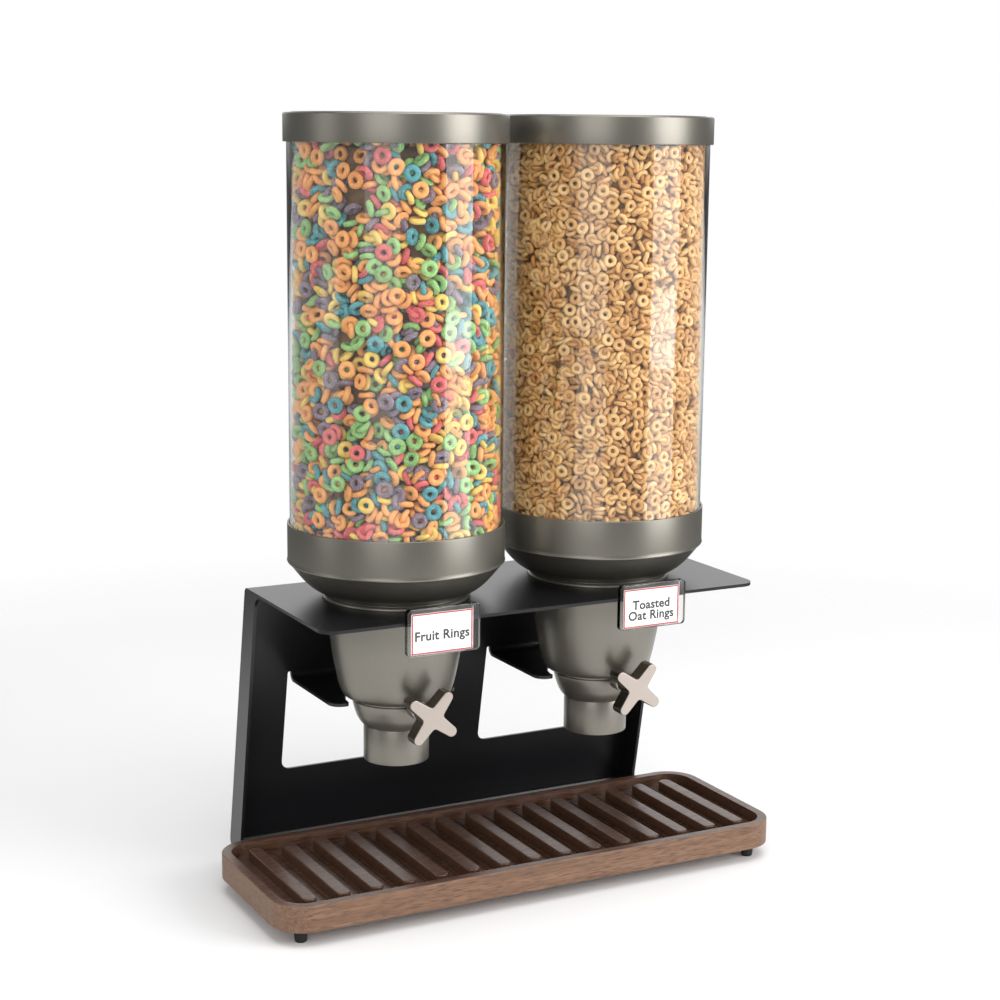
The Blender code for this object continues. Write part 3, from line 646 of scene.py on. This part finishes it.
stand = carve(stand, [sheet_piece("plan", [plan], 400, (0, 0, 150))], "INTERSECT")
print("stand after cutting:", len(stand.data.vertices), "points")

# %% Cradle tabs
SEAT, RELIEF, TAB_BEND, TAB_CORNER = 47.5, 3.4, 6.5, 11.5
cradle_low, cradle_high = box_mm("cradle_left")
tab_z = (cradle_low.z + cradle_high.z) / 2


def cradle_plan(x, y):
    """The tab from above: a half-round seat that is open to the front, and rounded corners."""
    half, front = WINDOW_HALF - RELIEF, cradle_low.y
    seat = [(x + px, y + py) for px, py in arc(0, 0, SEAT, 170, 10, 28)]
    return rounded([
        (x + half, front, TAB_CORNER), (x + half, 160), (x - half, 160), (x - half, front, TAB_CORNER),
        (x - SEAT, front, 4.0), *seat, (x + SEAT, front, 4.0),
    ], 6)


tab_fold, tab_front = (panel_middle(tab_z), tab_z), (cradle_low.y - OVER, tab_z)
inside_panel = (panel_middle(202.0), 202.0)
tab_line = [inside_panel, *bend(inside_panel, tab_fold, tab_front, TAB_BEND), tab_front]
for side in SIDES:
    wide = 2 * (WINDOW_HALF - RELIEF + OVER)
    tab = sheet_piece(f"tab_{side}", [bent_strip(tab_line, 2.4)], wide, (axis[side][0], 0, 0), "side")
    shape = sheet_piece("tab_plan", [cradle_plan(*axis[side])], 80, (0, 0, tab_z))
    stand = carve(stand, [carve(tab, [shape], "INTERSECT")], "UNION")
stand = soften(stand, 0.45)
finish_piece(
    stand, [black_steel], "stand",
    ["top_shelf", "back_panel", "base_plate", "left_cheek", "right_cheek", "cradle_left", "cradle_right"],
    flat=True,
)
print("finished stand:", len(stand.data.polygons), "faces")

# %% [markdown]
# ## The walnut tray
# A board with rounded corners is milled out by about ten millimetres, leaving a rim all round and a row of ribs a
# little lower than the rim, so that a bowl stands level and spilt cereal drops between them. A shallow channel
# runs down each gap. Ribs and channels are plain sheet pieces, joined to the board or cut from it. Faces further
# in than the board's rounded edge, measured from its outline, take the darker pocket walnut. The rest is oiled.

# %% Tray
RIM, CORNER, POCKET_CORNER, ROUNDED_EDGE = 9.0, 32, 23, 1.2
RIB_COUNT, RIB_PITCH, RIB_WIDTH, RIB_END = 15, 32.5, 13.6, 11.0
tray_low, tray_high = box_mm("tray")
FLOOR_Z, RIB_Z = tray_high.z - 11.2, tray_high.z - 1.7


def tray_plan(inset, corner, count=12):
    """The tray's plan, stepped inwards."""
    return rectangle(
        tray_low.x + inset, tray_low.y + inset, tray_high.x - inset, tray_high.y - inset, corner, count
    )


def bar_plan(x, half, end, corner):
    """A long bar from front to back, for one rib or one channel."""
    return rectangle(x - half, tray_low.y + RIM + end, x + half, tray_high.y - RIM - end, corner, 4)


def slab(name, outlines, low, high, soft_edge=0.0, segments=2):
    """A horizontal sheet piece between two heights."""
    return sheet_piece(name, outlines, high - low, (0, 0, (low + high) / 2), "up", soft_edge, segments)


rib_x = [(i - (RIB_COUNT - 1) / 2) * RIB_PITCH for i in range(RIB_COUNT)]
gap_x = [x + RIB_PITCH / 2 for x in rib_x[:-1]]
board = slab("walnut_tray", [tray_plan(0, CORNER)], tray_low.z, tray_high.z, 0.9, 3)
pocket = slab("pocket", [tray_plan(RIM, POCKET_CORNER)], FLOOR_Z, tray_high.z + 5)
channels = slab("channels", [bar_plan(x, 5.6, 5.0, 5.0) for x in gap_x], FLOOR_Z - 1.0, FLOOR_Z + 3)
board = carve(board, [pocket])
board = carve(board, [channels])
ribs = slab("ribs", [bar_plan(x, RIB_WIDTH / 2, RIB_END, 6.0) for x in rib_x], FLOOR_Z - 2, RIB_Z, 1.3, 3)
board = carve(board, [ribs], "UNION")
finish_piece(board, [walnut_edge, walnut_pocket], "stand", ["tray"], flat=True)
half_x, half_y, mid_y = tray_high.x, (tray_high.y - tray_low.y) / 2, (tray_high.y + tray_low.y) / 2
for facet in board.data.polygons:
    at = facet.center * 1000
    past_x, past_y = abs(at.x) - half_x + CORNER, abs(at.y - mid_y) - half_y + CORNER
    depth = CORNER - max(math.hypot(max(past_x, 0), max(past_y, 0)), past_x, past_y)
    facet.material_index = 1 if depth > ROUNDED_EDGE and at.z > FLOOR_Z - 3 else 0
print("tray:", len(board.data.polygons), "faces,", RIB_COUNT, "ribs")

# %% [markdown]
# ## Feet
# Short round rubber bumpers, a little wider at the top, with a soft lower edge.

# %% Feet
for row in ("front", "back"):
    for side in SIDES:
        node_name = f"foot_{row}_{side}"
        low, high = box_mm(node_name)
        wide, tall = (high.x - low.x) / 2, high.z - low.z
        outline = [(0, tall), *arc(wide - 0.6, tall - 0.6, 0.6, 90, 0, 3)]
        outline += [*arc(wide - 2.2, 1.2, 1.2, 0, -90, 4), (0, 0)]
        foot = turned(f"rubber_{node_name}", outline, ((low.x + high.x) / 2, (low.y + high.y) / 2, 0), 40)
        finish_piece(foot, [rubber], "stand", [node_name])
print("feet done")

# %% [markdown]
# ## Canister and lid
# The canister is a plain cast tube with flame-polished rims. The lid is a shallow moulded cap: its skirt slides
# over the tube, its top edge is rounded by two millimetres, and a low step on top keeps it stiff.

# %% Canisters and lids
WALL = 3.0
tube = {}
for side in SIDES:
    x, y = axis[side]
    low, high = box_mm(f"canister_{side}")
    outer = (high.x - low.x) / 2
    bore = outer - WALL
    tube[side] = (bore, low.z, high.z)
    outline = rounded([(outer, high.z, 1.0), (outer, low.z, 1.0), (bore, low.z, 1.0), (bore, high.z, 1.0)], 4)
    canister = turned(f"clear_canister_{side}", outline, (x, y, 0), 192)
    finish_piece(canister, [acrylic], f"canister_body_{side}", [f"canister_{side}"], 40)

    low, high = box_mm(f"lid_{side}")
    lid = (high.x - low.x) / 2
    outline = rounded([
        (0, high.z), (lid - 7.5, high.z, 0.8), (lid - 6.9, high.z - 0.7, 0.8), (lid, high.z - 0.7, 1.8),
        (lid, low.z, 0.7), (outer + 0.5, low.z, 0.5), (outer + 0.5, high.z - 2.6), (0, high.z - 2.6),
    ], 5)
    cap = turned(f"pewter_lid_{side}", outline, (x, y, 0), 192)
    finish_piece(cap, [pewter], f"lid_body_{side}", [f"lid_{side}"], 28)
print("canister bore, foot and top:", tube["left"])


# %% [markdown]
# ## Hopper cup
# The canister stands in a cup with a straight collar over a round bowl. A fine step runs round it where the two
# halves of the mould met. Inside, the cup funnels down to a spigot that plugs into the valve.

# %% Hopper cups
BOWL = [(99.9, 317.7), (98.1, 316.2), (92.5, 309.3), (86.3, 301.9), (79.5, 295.6), (73.0, 291.4),
        (68.5, 289.2), (66.2, 288.0), (66.0, 287.2)]
for side in SIDES:
    x, y = axis[side]
    low, high = box_mm(f"hopper_cup_{side}")
    rim, top = (high.x - low.x) / 2, high.z
    outline = rounded([(rim - 2.4, top), (rim - 0.5, top, 0.9), (rim - 0.5, 322.0)], 4)[1:]
    outline += [(rim - 0.5, 319.3), (rim - 0.3, 318.8), (rim, 318.3), *flowing(BOWL)]
    outline += [(58.5, 287.2), (58.5, low.z), (55.5, low.z), (55.5, 287.2)]
    outline += flowing([(61.5, 291.2), (72.0, 294.4), (84.0, 304.8), (89.5, 311.7), (91.5, 316.0)])
    outline += [(91.5, 321.2), (97.7, 321.2), (97.7, top - 0.4), (98.2, top)]
    cup = turned(f"pewter_cup_{side}", outline, (x, y, 0), 192)
    finish_piece(cup, [pewter], "stand", [f"hopper_cup_{side}"], 24)
print("cups done")

# %% [markdown]
# ## Valve
# The upper shell hangs through the shelf by its flange and narrows like a bell to a waist behind the cradle's
# front edge. The spout below it is a separate moulding, with a shadow line between the two. A short boss on the
# front carries the axle.

# %% Valve shells and spouts
LIP = 189.0
BOSS, SLEEVE_HOLE, NOZZLE = 8.8, 6.6, 30.6
BELL = [(63.6, 282.6), (63.0, 268.0), (61.8, 248.6), (59.7, 232.0), (57.8, 221.0), (55.6, 209.6),
        (53.7, 201.5), (51.9, 196.0), (50.0, 192.3), (47.6, 190.0), (45.0, LIP)]
CAP = [(41.1, 185.4), (41.0, 184.0), (40.2, 180.0), (38.7, 175.0), (36.9, 170.0), (34.4, 165.5),
       (31.7, 162.2), (31.0, 161.3)]
for side in SIDES:
    x, y = axis[side]
    outline = [(66.8, 286.9), (67.2, 286.7), (68.4, 285.2), (68.5, 284.8), (68.4, 283.9), (63.8, 283.9)]
    outline += [*flowing(BELL), (40.4, LIP + 0.3), (39.9, LIP - 0.2), (39.9, 186.3), (38.3, 186.3), (38.3, 190.4)]
    outline += flowing([(42.6, 192.2), (46.8, 196.0), (50.6, 203.4), (52.8, 211.0), (57.0, 233.0), (59.1, 249.0)])
    outline.append((59.2, 286.9))
    shell = turned(f"pewter_valve_{side}", outline, (x, y, 0), 160)
    boss_outline = rounded([(0, -52.0), (BOSS, -52.0, 0.8), (BOSS, -38.0), (0, -38.0)], 3)
    boss = turned(f"boss_{side}", boss_outline, (x, y, wheel_z), 56, "y")
    trim = rod(f"trim_{side}", 41.6, 0, -40, (x, y, LIP + 0.7), 96)
    shell = carve(shell, [carve(boss, [trim])], "UNION")
    shell = carve(shell, [rod(f"bore_{side}", SLEEVE_HOLE, -70, -34, (x, y, wheel_z), 56, "y")])
    finish_piece(shell, [pewter], "stand", [f"valve_housing_{side}"], 30)

    low, high = box_mm(f"spout_{side}")
    outline = [(40.2, high.z), (40.9, high.z - 0.2), *flowing(CAP), (30.3, 161.0), (NOZZLE, 160.2)]
    outline += arc(NOZZLE - 0.8, low.z + 0.8, 0.8, 0, -90, 4)
    outline += [(28.8, low.z), (28.3, low.z + 0.5), (28.3, 161.2), (34.1, 170.0), (37.4, 180.0),
                (38.3, 184.0), (38.3, high.z)]
    spout = turned(f"pewter_spout_{side}", outline, (x, y, 0), 144)
    spout = carve(spout, [rod(f"notch_{side}", SLEEVE_HOLE, -70, -34, (x, y, wheel_z), 56, "y")])
    finish_piece(spout, [pewter], "stand", [f"spout_{side}"], 24)
print("valves done")

# %% [markdown]
# ## Knob
# A four-armed casting, easy to turn with one finger. Its arms taper outwards and end round, and meet in small
# fillets. The cross is a sheet piece with rounded edges, and the hub behind it is turned and joined to it.

# %% Knobs
ARM_TURN, ARM_REACH, ARM_TIP, ARM_ROOT, ARM_FILLET = 52.0, 23.2, 5.1, 6.6, 3.0
KNOB_DEPTH, HUB = 15.0, 8.2


def cross_outline():
    """The cross seen from the front, round its own centre."""
    outline = []
    corner = ARM_ROOT + ARM_FILLET
    for i in range(4):
        turn = math.radians(ARM_TURN + 90 * i)
        arm = [(corner + 0.2, -ARM_ROOT + 0.1), *arc(ARM_REACH, 0, ARM_TIP, -86, 86, 14)]
        arm += [(corner + 0.2, ARM_ROOT - 0.1), *arc(corner, corner, ARM_FILLET, 262, 188, 6)]
        outline += [
            (px * math.cos(turn) - py * math.sin(turn), px * math.sin(turn) + py * math.cos(turn))
            for px, py in arm
        ]
    return outline


for side in SIDES:
    x, y = axis[side]
    low, high = box_mm(f"knob_{side}")
    middle = (x, low.y + KNOB_DEPTH / 2, wheel_z)
    knob = sheet_piece(f"nickel_knob_{side}", [cross_outline()], KNOB_DEPTH, middle, "front", 0.9, 3)
    hub_outline = rounded([(0, low.y + 10), (HUB, low.y + 10), (HUB, high.y, 0.6), (0, high.y)], 3)
    hub = turned(f"hub_{side}", hub_outline, (x, 0, wheel_z), 48, "y")
    knob = carve(knob, [hub], "UNION")
    bore = rod(f"bore_{side}", 5.3, high.y + 3, high.y - 14, (x, 0, wheel_z), 40, "y")
    socket = rod(f"socket_{side}", 2.0, 4, 12, (x, y - 60.0, wheel_z), 24)
    knob = carve(knob, [bore, socket])
    finish_piece(knob, [nickel_painted_shade, nickel_face], f"rotor_{side}", [f"knob_{side}"], 30, True)
    # Faces that look straight to the front take the nickel's own colour, and all other faces the darker painted
    # shade.
    for facet in knob.data.polygons:
        facet.material_index = 1 if facet.normal.y < -0.9 and facet.center.y * 1000 < low.y + 1 else 0
print("knobs done")

# %% [markdown]
# ## Label holders and cards
# A clear block with rounded corners clips over the shelf's front edge. Its slot is open at the top, and the card
# stands in it. The card has a thin red frame and a generic name. The print is real geometry, a few hundredths of
# a millimetre proud, and its letters are made a third of a millimetre bolder than the font.

# %% Label holders and cards
WORDS = {"left": ("Fruit Rings",), "right": ("Toasted", "Oat Rings")}
LETTER_SIZE, BELOW_MIDDLE = 11.9, 2.5
HOLDER_THICK, CARD_THICK, SLOT_THICK = 5.4, 0.6, 1.2
BORDER_INSET, BORDER_LINE = 0.2, 1.3


def printed_words(name, lines, at, size):
    """Generic words as thin solid letters that face the front."""
    text = bpy.data.curves.new(name, "FONT")
    text.body = "\n".join(lines)
    text.size = size * MM
    text.align_x = "CENTER"
    text.align_y = "CENTER"
    text.space_line = 0.85
    text.space_character = 1.04
    text.offset = 0.34 * MM
    text.extrude = 0.07 * MM
    text.resolution_u = 3
    obj = linked(name, text)
    obj.location = Vector(at) * MM
    obj.rotation_euler = FACING["front"]
    return as_mesh(obj)


for side in SIDES:
    low, high = box_mm(f"label_holder_{side}")
    card_low, card_high = box_mm(f"label_card_{side}")
    plate = rectangle(low.x, low.z, high.x, high.z, 4.0, 8)
    plate_y, lip_root = low.y + HOLDER_THICK / 2, low.y + HOLDER_THICK - 1.0
    holder = sheet_piece(f"clear_holder_{side}", [plate], HOLDER_THICK, (0, plate_y, 0), "front", 0.5, 2)
    lips = []
    for lip_low, lip_high in ((shelf_high.z + 0.3, shelf_high.z + 1.9), (shelf_low.z - 1.9, shelf_low.z - 0.3)):
        lip = rounded([
            (lip_root, lip_low), (high.y, lip_low, 0.5), (high.y, lip_high, 0.5), (lip_root, lip_high),
        ], 3)
        lips.append(sheet_piece(f"lip_{side}", [lip], 40.0, ((low.x + high.x) / 2, 0, 0), "side"))
    holder = carve(holder, lips, "UNION")
    slot = rectangle(card_low.x - 0.5, card_low.z - 0.3, card_high.x + 0.5, high.z + 4)
    slot_y = (card_low.y + card_high.y) / 2
    holder = carve(holder, [sheet_piece(f"slot_{side}", [slot], SLOT_THICK, (0, slot_y, 0), "front")])
    finish_piece(holder, [hazy_acrylic], "stand", [f"label_holder_{side}"], 30, True)

    edge = rectangle(card_low.x, card_low.z, card_high.x, card_high.z, 0.8, 3)
    card = sheet_piece(f"printed_card_{side}", [edge], CARD_THICK, (0, slot_y, 0), "front")
    finish_piece(card, [card_stock], f"card_body_{side}", [f"label_card_{side}"])
    border = [
        rectangle(card_low.x + m, card_low.z + m, card_high.x - m, card_high.z - m)
        for m in (BORDER_INSET, BORDER_INSET + BORDER_LINE)
    ]
    print_y = card_low.y - 0.05
    red_frame = sheet_piece(f"card_border_{side}", border, 0.14, (0, print_y, 0), "front")
    finish_piece(red_frame, [red_ink], f"card_body_{side}")
    words_at = ((card_low.x + card_high.x) / 2, print_y, (card_low.z + card_high.z) / 2 - BELOW_MIDDLE)
    words = printed_words(f"card_words_{side}", WORDS[side], words_at, LETTER_SIZE)
    finish_piece(words, [black_ink], f"card_body_{side}")
print("labels done")

# %% [markdown]
# ## Working parts inside
# The metering chamber, wheel, axle, bushings, seals and screws are seen only from below, or with a lid or
# canister lifted. The CAD shapes are right as they are, so each keeps its mesh and takes a real finish.

# %% Finishes for the inner pieces
INNER = {
    "metering_chamber": nylon, "front_bushing": nylon, "rear_bushing": nylon, "paddle_wheel": silicone,
    "lid_seal": silicone, "canister_seal": silicone, "axle": turned_steel, "knob_set_screw": turned_steel,
}
kept = {f"{name}_{side}": finish for name, finish in INNER.items() for side in SIDES}
kept.update({f"tray_screw_{i}": turned_steel for i in range(1, 5)})
for name, finish in kept.items():
    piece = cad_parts[name]
    piece.data.materials.clear()
    piece.data.materials.append(finish)
    piece.data.shade_smooth()
    piece.data.set_sharp_from_angle(angle=math.radians(30))
print("inner pieces:", len(kept))


# %% [markdown]
# ## Packing the cereal
# Rings poured into a tube lie at every angle and touch without sinking into each other. Dropping thousands of
# them in a physics run is slow, so each ring is treated as six small balls on a circle. The rings start at random
# places and angles, and wherever balls of two rings overlap, both rings are pushed apart and turned a little.
# After some dozens of rounds they fit like poured cereal. Only the layer behind the wall and the top layer are
# packed, because nothing deeper is ever seen. A grid of cells finds the neighbours quickly.

# %% Ring packing
BALLS = 6
WALL_SHARE, MOVE_SHARE, TURN_SHARE = 1.5, 1.3, 1.6  # how much of each overlap one round takes away


def push_apart(points, owner, reach):
    """The push on each ball from balls of other rings that are nearer than reach."""
    cell = np.floor((points - points.min(0)) / reach).astype(np.int64) + 1
    wide = cell.max(0) + 2
    key = cell[:, 0] + wide[0] * (cell[:, 1] + wide[1] * cell[:, 2])
    order = np.argsort(key, kind="stable")
    in_order = key[order]
    push = np.zeros_like(points)
    for dy in (-1, 0, 1):
        for dz in (-1, 0, 1):
            near = key + wide[0] * (dy + wide[1] * dz)
            first = np.searchsorted(in_order, near - 1, "left")
            last = np.searchsorted(in_order, near + 1, "right")
            mine = np.arange(len(points))
            while len(mine):
                mine = mine[first[mine] < last[mine]]
                other = order[first[mine]]
                apart = points[mine] - points[other]
                gap = np.sqrt((apart**2).sum(1))
                hit = (gap < reach) & (owner[mine] != owner[other])
                share = 0.5 * (reach - gap[hit]) / np.maximum(gap[hit], 1e-6)
                push[mine[hit]] += apart[hit] * share[:, None]
                first[mine] += 1
    return push


def pack_rings(seed, count, ring, ball, bore, low, high, layer, rounds):
    """Centres and turned axes of rings packed behind the wall of a tube, and over the top of its core."""
    rng = np.random.default_rng(seed)
    core, lid = bore - layer, high - layer
    side_volume = (bore**2 - core**2) * (high - low)
    top_volume = core**2 * layer
    on_top = rng.random(count) < top_volume / (side_volume + top_volume)
    r = np.sqrt(np.where(on_top, rng.random(count) * core**2, core**2 + rng.random(count) * (bore**2 - core**2)))
    turn = rng.random(count) * 2 * math.pi
    z = np.where(on_top, lid + rng.random(count) * layer, low + rng.random(count) * (high - low))
    centre = np.stack([r * np.cos(turn), r * np.sin(turn), z], 1)
    u = rng.normal(size=(count, 3))
    u /= np.linalg.norm(u, axis=1)[:, None]
    v = np.cross(u, rng.normal(size=(count, 3)))
    v /= np.linalg.norm(v, axis=1)[:, None]
    spokes = np.linspace(0, 2 * math.pi, BALLS, endpoint=False)
    owner = np.repeat(np.arange(count), BALLS)
    for _ in range(rounds):
        arms = ring * (np.cos(spokes)[:, None] * u[:, None] + np.sin(spokes)[:, None] * v[:, None])
        points = (centre[:, None] + arms).reshape(-1, 3)
        push = push_apart(points, owner, 2 * ball)
        r = np.sqrt(points[:, 0] ** 2 + points[:, 1] ** 2)
        outward = points[:, :2] / np.maximum(r, 1e-6)[:, None]
        wall = np.maximum(r - (bore - ball), 0)
        push[:, :2] -= outward * wall[:, None] * WALL_SHARE
        push[:, 2] -= np.maximum(points[:, 2] - (high - ball), 0)
        push[:, 2] += np.maximum(low + ball - points[:, 2], 0)
        deep, under = (core + ball) - r, (lid + ball) - points[:, 2]
        sunk = (deep > 0) & (under > 0)
        by_side = sunk & (deep < under)
        by_top = sunk & ~by_side
        push[by_side, :2] += outward[by_side] * deep[by_side, None]
        push[by_top, 2] += under[by_top]
        push = push.reshape(count, BALLS, 3)
        centre += push.mean(1) * MOVE_SHARE
        spin = np.cross(arms, push).sum(1) / (BALLS * ring**2) * TURN_SHARE
        u += np.cross(spin, u)
        v += np.cross(spin, v)
        u /= np.linalg.norm(u, axis=1)[:, None]
        v -= u * (u * v).sum(1)[:, None]
        v /= np.linalg.norm(v, axis=1)[:, None]
    return centre, u, v


# %% [markdown]
# ## From packed places to rings
# Every ring copies one of a few lumpy tori, in its own size. The outer ones, which are seen close, have more
# faces than those behind them. Rings of one tint become one piece, so that each tint has its own material.

# %% Ring shapes
def lumpy_ring(rng, ring, ball, around, across):
    """Points and faces of one puffed ring, in its own axes."""
    a = np.linspace(0, 2 * math.pi, around, endpoint=False)[:, None]
    b = np.linspace(0, 2 * math.pi, across, endpoint=False)[None]
    swell = 1 + sum(
        rng.uniform(0.02, 0.05) * np.sin(k * a + m * b + rng.uniform(0, 6.28))
        for k, m in ((1, 0), (2, 1), (3, -1), (5, 2), (4, -2))
    )
    tube_radius = ball * 0.97 * swell
    far = ring + tube_radius * np.cos(b)
    points = np.stack([far * np.cos(a), far * np.sin(a), tube_radius * np.sin(b) * 0.93 + 0 * a], 2)
    i, j = np.meshgrid(np.arange(around), np.arange(across), indexing="ij")
    i2, j2 = (i + 1) % around, (j + 1) % across
    faces = np.stack([i * across + j, i2 * across + j, i2 * across + j2, i * across + j2], 2)
    return points.reshape(-1, 3), faces.reshape(-1, 4)


def ring_mesh(name, shapes, pick, centre, u, v, size):
    """All rings of one tint as one mesh object. Points are in millimetres."""
    w = np.cross(u, v)
    all_points, all_faces, start = [], [], 0
    for i in range(len(centre)):
        points, faces = shapes[pick[i]]
        turned_points = points @ np.stack([u[i], v[i], w[i]]) * size[i] + centre[i]
        all_points.append(turned_points)
        all_faces.append(faces + start)
        start += len(points)
    points, faces = np.concatenate(all_points) * MM, np.concatenate(all_faces)
    mesh = bpy.data.meshes.new(name)
    mesh.vertices.add(len(points))
    mesh.vertices.foreach_set("co", points.astype(np.float32).ravel())
    mesh.loops.add(faces.size)
    mesh.loops.foreach_set("vertex_index", faces.astype(np.int32).ravel())
    mesh.polygons.add(len(faces))
    mesh.polygons.foreach_set("loop_start", np.arange(0, faces.size, 4, dtype=np.int32))
    mesh.update(calc_edges=True)
    mesh.shade_smooth()
    return linked(name, mesh)


# %% Fill the canisters
HEADROOM = 8.0
SHAPES = 8  # fine ones for the rings at the wall, and as many coarse ones for those behind
FILLS = {
    "left": dict(kind="fruit_rings", seed=11, count=2900, ring=5.1, ball=2.9, layer=18.0,
                 tints=FRUIT_RINGS, dough=fruit_dough, shade=fruit_shade, fine=(16, 8), coarse=(10, 5)),
    "right": dict(kind="oat_rings", seed=23, count=5200, ring=4.0, ball=2.25, layer=14.0,
                  tints=OAT_RINGS, dough=oat_dough, shade=oat_shade, fine=(14, 7), coarse=(9, 5)),
}
for side in SIDES:
    fill = FILLS[side]
    x, y = axis[side]
    bore, foot, top = tube[side]
    low, high = foot + 3.0, top - HEADROOM
    rounds = 60
    centre, u, v = pack_rings(
        fill["seed"], fill["count"], fill["ring"], fill["ball"], bore - 0.4, low, high, fill["layer"], rounds
    )
    rng = np.random.default_rng(fill["seed"] + 1)
    shapes = [lumpy_ring(rng, fill["ring"], fill["ball"], *fill["fine"]) for _ in range(SHAPES)]
    shapes += [lumpy_ring(rng, fill["ring"], fill["ball"], *fill["coarse"]) for _ in range(SHAPES)]
    near = np.hypot(centre[:, 0], centre[:, 1]) > bore - 2.1 * (fill["ring"] + fill["ball"]) * 0.75
    pick = rng.integers(0, SHAPES, fill["count"]) + np.where(near, 0, SHAPES)
    size = rng.uniform(0.93, 1.0, fill["count"])
    shares = np.array([look[0] for look in fill["tints"].values()])
    tint_of = rng.choice(len(shares), fill["count"], p=shares / shares.sum())
    placed = centre + np.array([x, y, 0])
    for number, tint in enumerate(fill["tints"]):
        own = np.flatnonzero(tint_of == number)
        rings = ring_mesh(
            f"{fill['kind']}_{tint}", shapes, pick[own], placed[own], u[own], v[own], size[own]
        )
        rings.data.materials.append(fill["dough"][tint])
        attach(rings, f"canister_body_{side}")
        print(rings.name, len(own), "rings,", len(rings.data.polygons), "faces")
    # The core behind the packed layer is a plain heap in a darker cereal tone: painted shade, seen in the gaps
    # between the rings.
    core = bore - fill["layer"]
    outline = rounded([
        (0, high - fill["layer"]), (core, high - fill["layer"], 4.0), (core, low, 4.0), (0, low),
    ], 4)
    heap = turned(f"{fill['kind']}_core", outline, (x, y, 0), 96)
    finish_piece(heap, [fill["shade"]], f"canister_body_{side}", sharp=60)

# %% [markdown]
# ## Studio
# A pale floor, which fades out into the white room, and large soft lamps. The strongest lamp stands at the front
# right. A weaker one at the front left and a faint one at the side fill the shadows, and one from above lights the
# cereal and the tray. The room is white where it is seen directly or through the acrylic. Reflections meet a
# bright screen behind the dispenser and dim walls elsewhere, so that the lacquer darkens towards its sides.

# %% Floor and lamps
corners = [(-6000, -6000, 0), (6000, -6000, 0), (6000, 9000, 0), (-6000, 9000, 0)]
floor = from_mesh("studio_floor", corners, [(0, 1, 2, 3)])
material, tree, out = new_material("pale_studio_floor")
paper = node(tree, "TexNoise", (), {"Vector": place(tree), "Scale": 0.002})
tone = node(tree, "Mix", {"data_type": "RGBA"}, {
    0: paper.outputs[0], 6: linear("#f6f6f6"), 7: linear("#fafafa")})
matt = node(tree, "BsdfPrincipled", (), {"Base Color": tone.outputs[2], "Roughness": 0.9})
where = node(tree, "TexCoord")
away = node(tree, "VectorMath", {"operation": "LENGTH"}, {0: where.outputs["Object"]})
fade = node(tree, "MapRange", {"interpolation_type": "SMOOTHSTEP"}, {
    "Value": away.outputs["Value"], "From Min": 0.7, "From Max": 1.5})
gone = node(tree, "BsdfTransparent")
paper_floor = node(tree, "MixShader", (), {0: fade.outputs[0], 1: matt.outputs[0], 2: gone.outputs[0]})
tree.links.new(paper_floor.outputs[0], out.inputs[0])
floor.data.materials.append(material)

SCREEN_WAY, SCREEN_LIGHT, WALL_LIGHT, ROOM_LIGHT = (0.468, 0.884, 0.0), 1.2, 0.16, 0.42
world = bpy.data.worlds.new("studio")
world.use_nodes = True
tree = world.node_tree
tree.nodes.clear()
ray = node(tree, "LightPath")
heading = node(tree, "TexCoord").outputs["Generated"]
behind = node(tree, "VectorMath", {"operation": "DOT_PRODUCT"}, {0: heading, 1: SCREEN_WAY})
ahead = node(tree, "MapRange", (), {"Value": behind.outputs["Value"], "From Min": 0.70, "From Max": 0.88})
height = node(tree, "SeparateXYZ", (), {0: heading})
raised = node(tree, "MapRange", (), {"Value": height.outputs["Z"], "From Min": 0.0, "From Max": 0.06})
screen = node(tree, "Math", {"operation": "MULTIPLY"}, {0: ahead.outputs[0], 1: raised.outputs[0]})
mirrored = node(tree, "Math", {"operation": "MULTIPLY_ADD"}, {
    0: screen.outputs[0], 1: SCREEN_LIGHT, 2: WALL_LIGHT})
soft = node(tree, "Mix", (), {0: ray.outputs["Is Diffuse Ray"], 2: mirrored.outputs[0], 3: ROOM_LIGHT})
direct = node(tree, "Math", {"operation": "MAXIMUM"}, {
    0: ray.outputs["Is Camera Ray"], 1: ray.outputs["Is Transmission Ray"]})
strength = node(tree, "Mix", (), {0: direct.outputs[0], 2: soft.outputs[0], 3: 1.0})
room = node(tree, "Background", (), {"Color": (1, 1, 1, 1), "Strength": strength.outputs[0]})
node(tree, "OutputWorld", (), {"Surface": room.outputs[0]})
bpy.context.scene.world = world
bpy.context.scene.view_settings.view_transform = "Standard"

middle_of_object = Vector((0, 0, 0.38))
LAMPS = {  # place, width and height in metres, and power in watts
    "front_left": ((-1.7, -2.0, 1.15), 1.7, 1.9, 20),
    "front_right": ((1.7, -1.9, 1.0), 1.6, 1.8, 46),
    "top": ((0.1, -0.4, 2.3), 2.2, 2.2, 38),
    "left_side": ((-2.2, 0.3, 0.9), 0.9, 1.6, 5),
}
for name, (where, wide, tall, power) in LAMPS.items():
    lamp = bpy.data.lights.new(name, "AREA")
    lamp.shape = "RECTANGLE"
    lamp.size, lamp.size_y, lamp.energy = wide, tall, power
    stood = linked(name, lamp)
    stood.location = where
    stood.rotation_euler = (middle_of_object - Vector(where)).to_track_quat("-Z", "Y").to_euler()
print("lamps:", list(LAMPS))
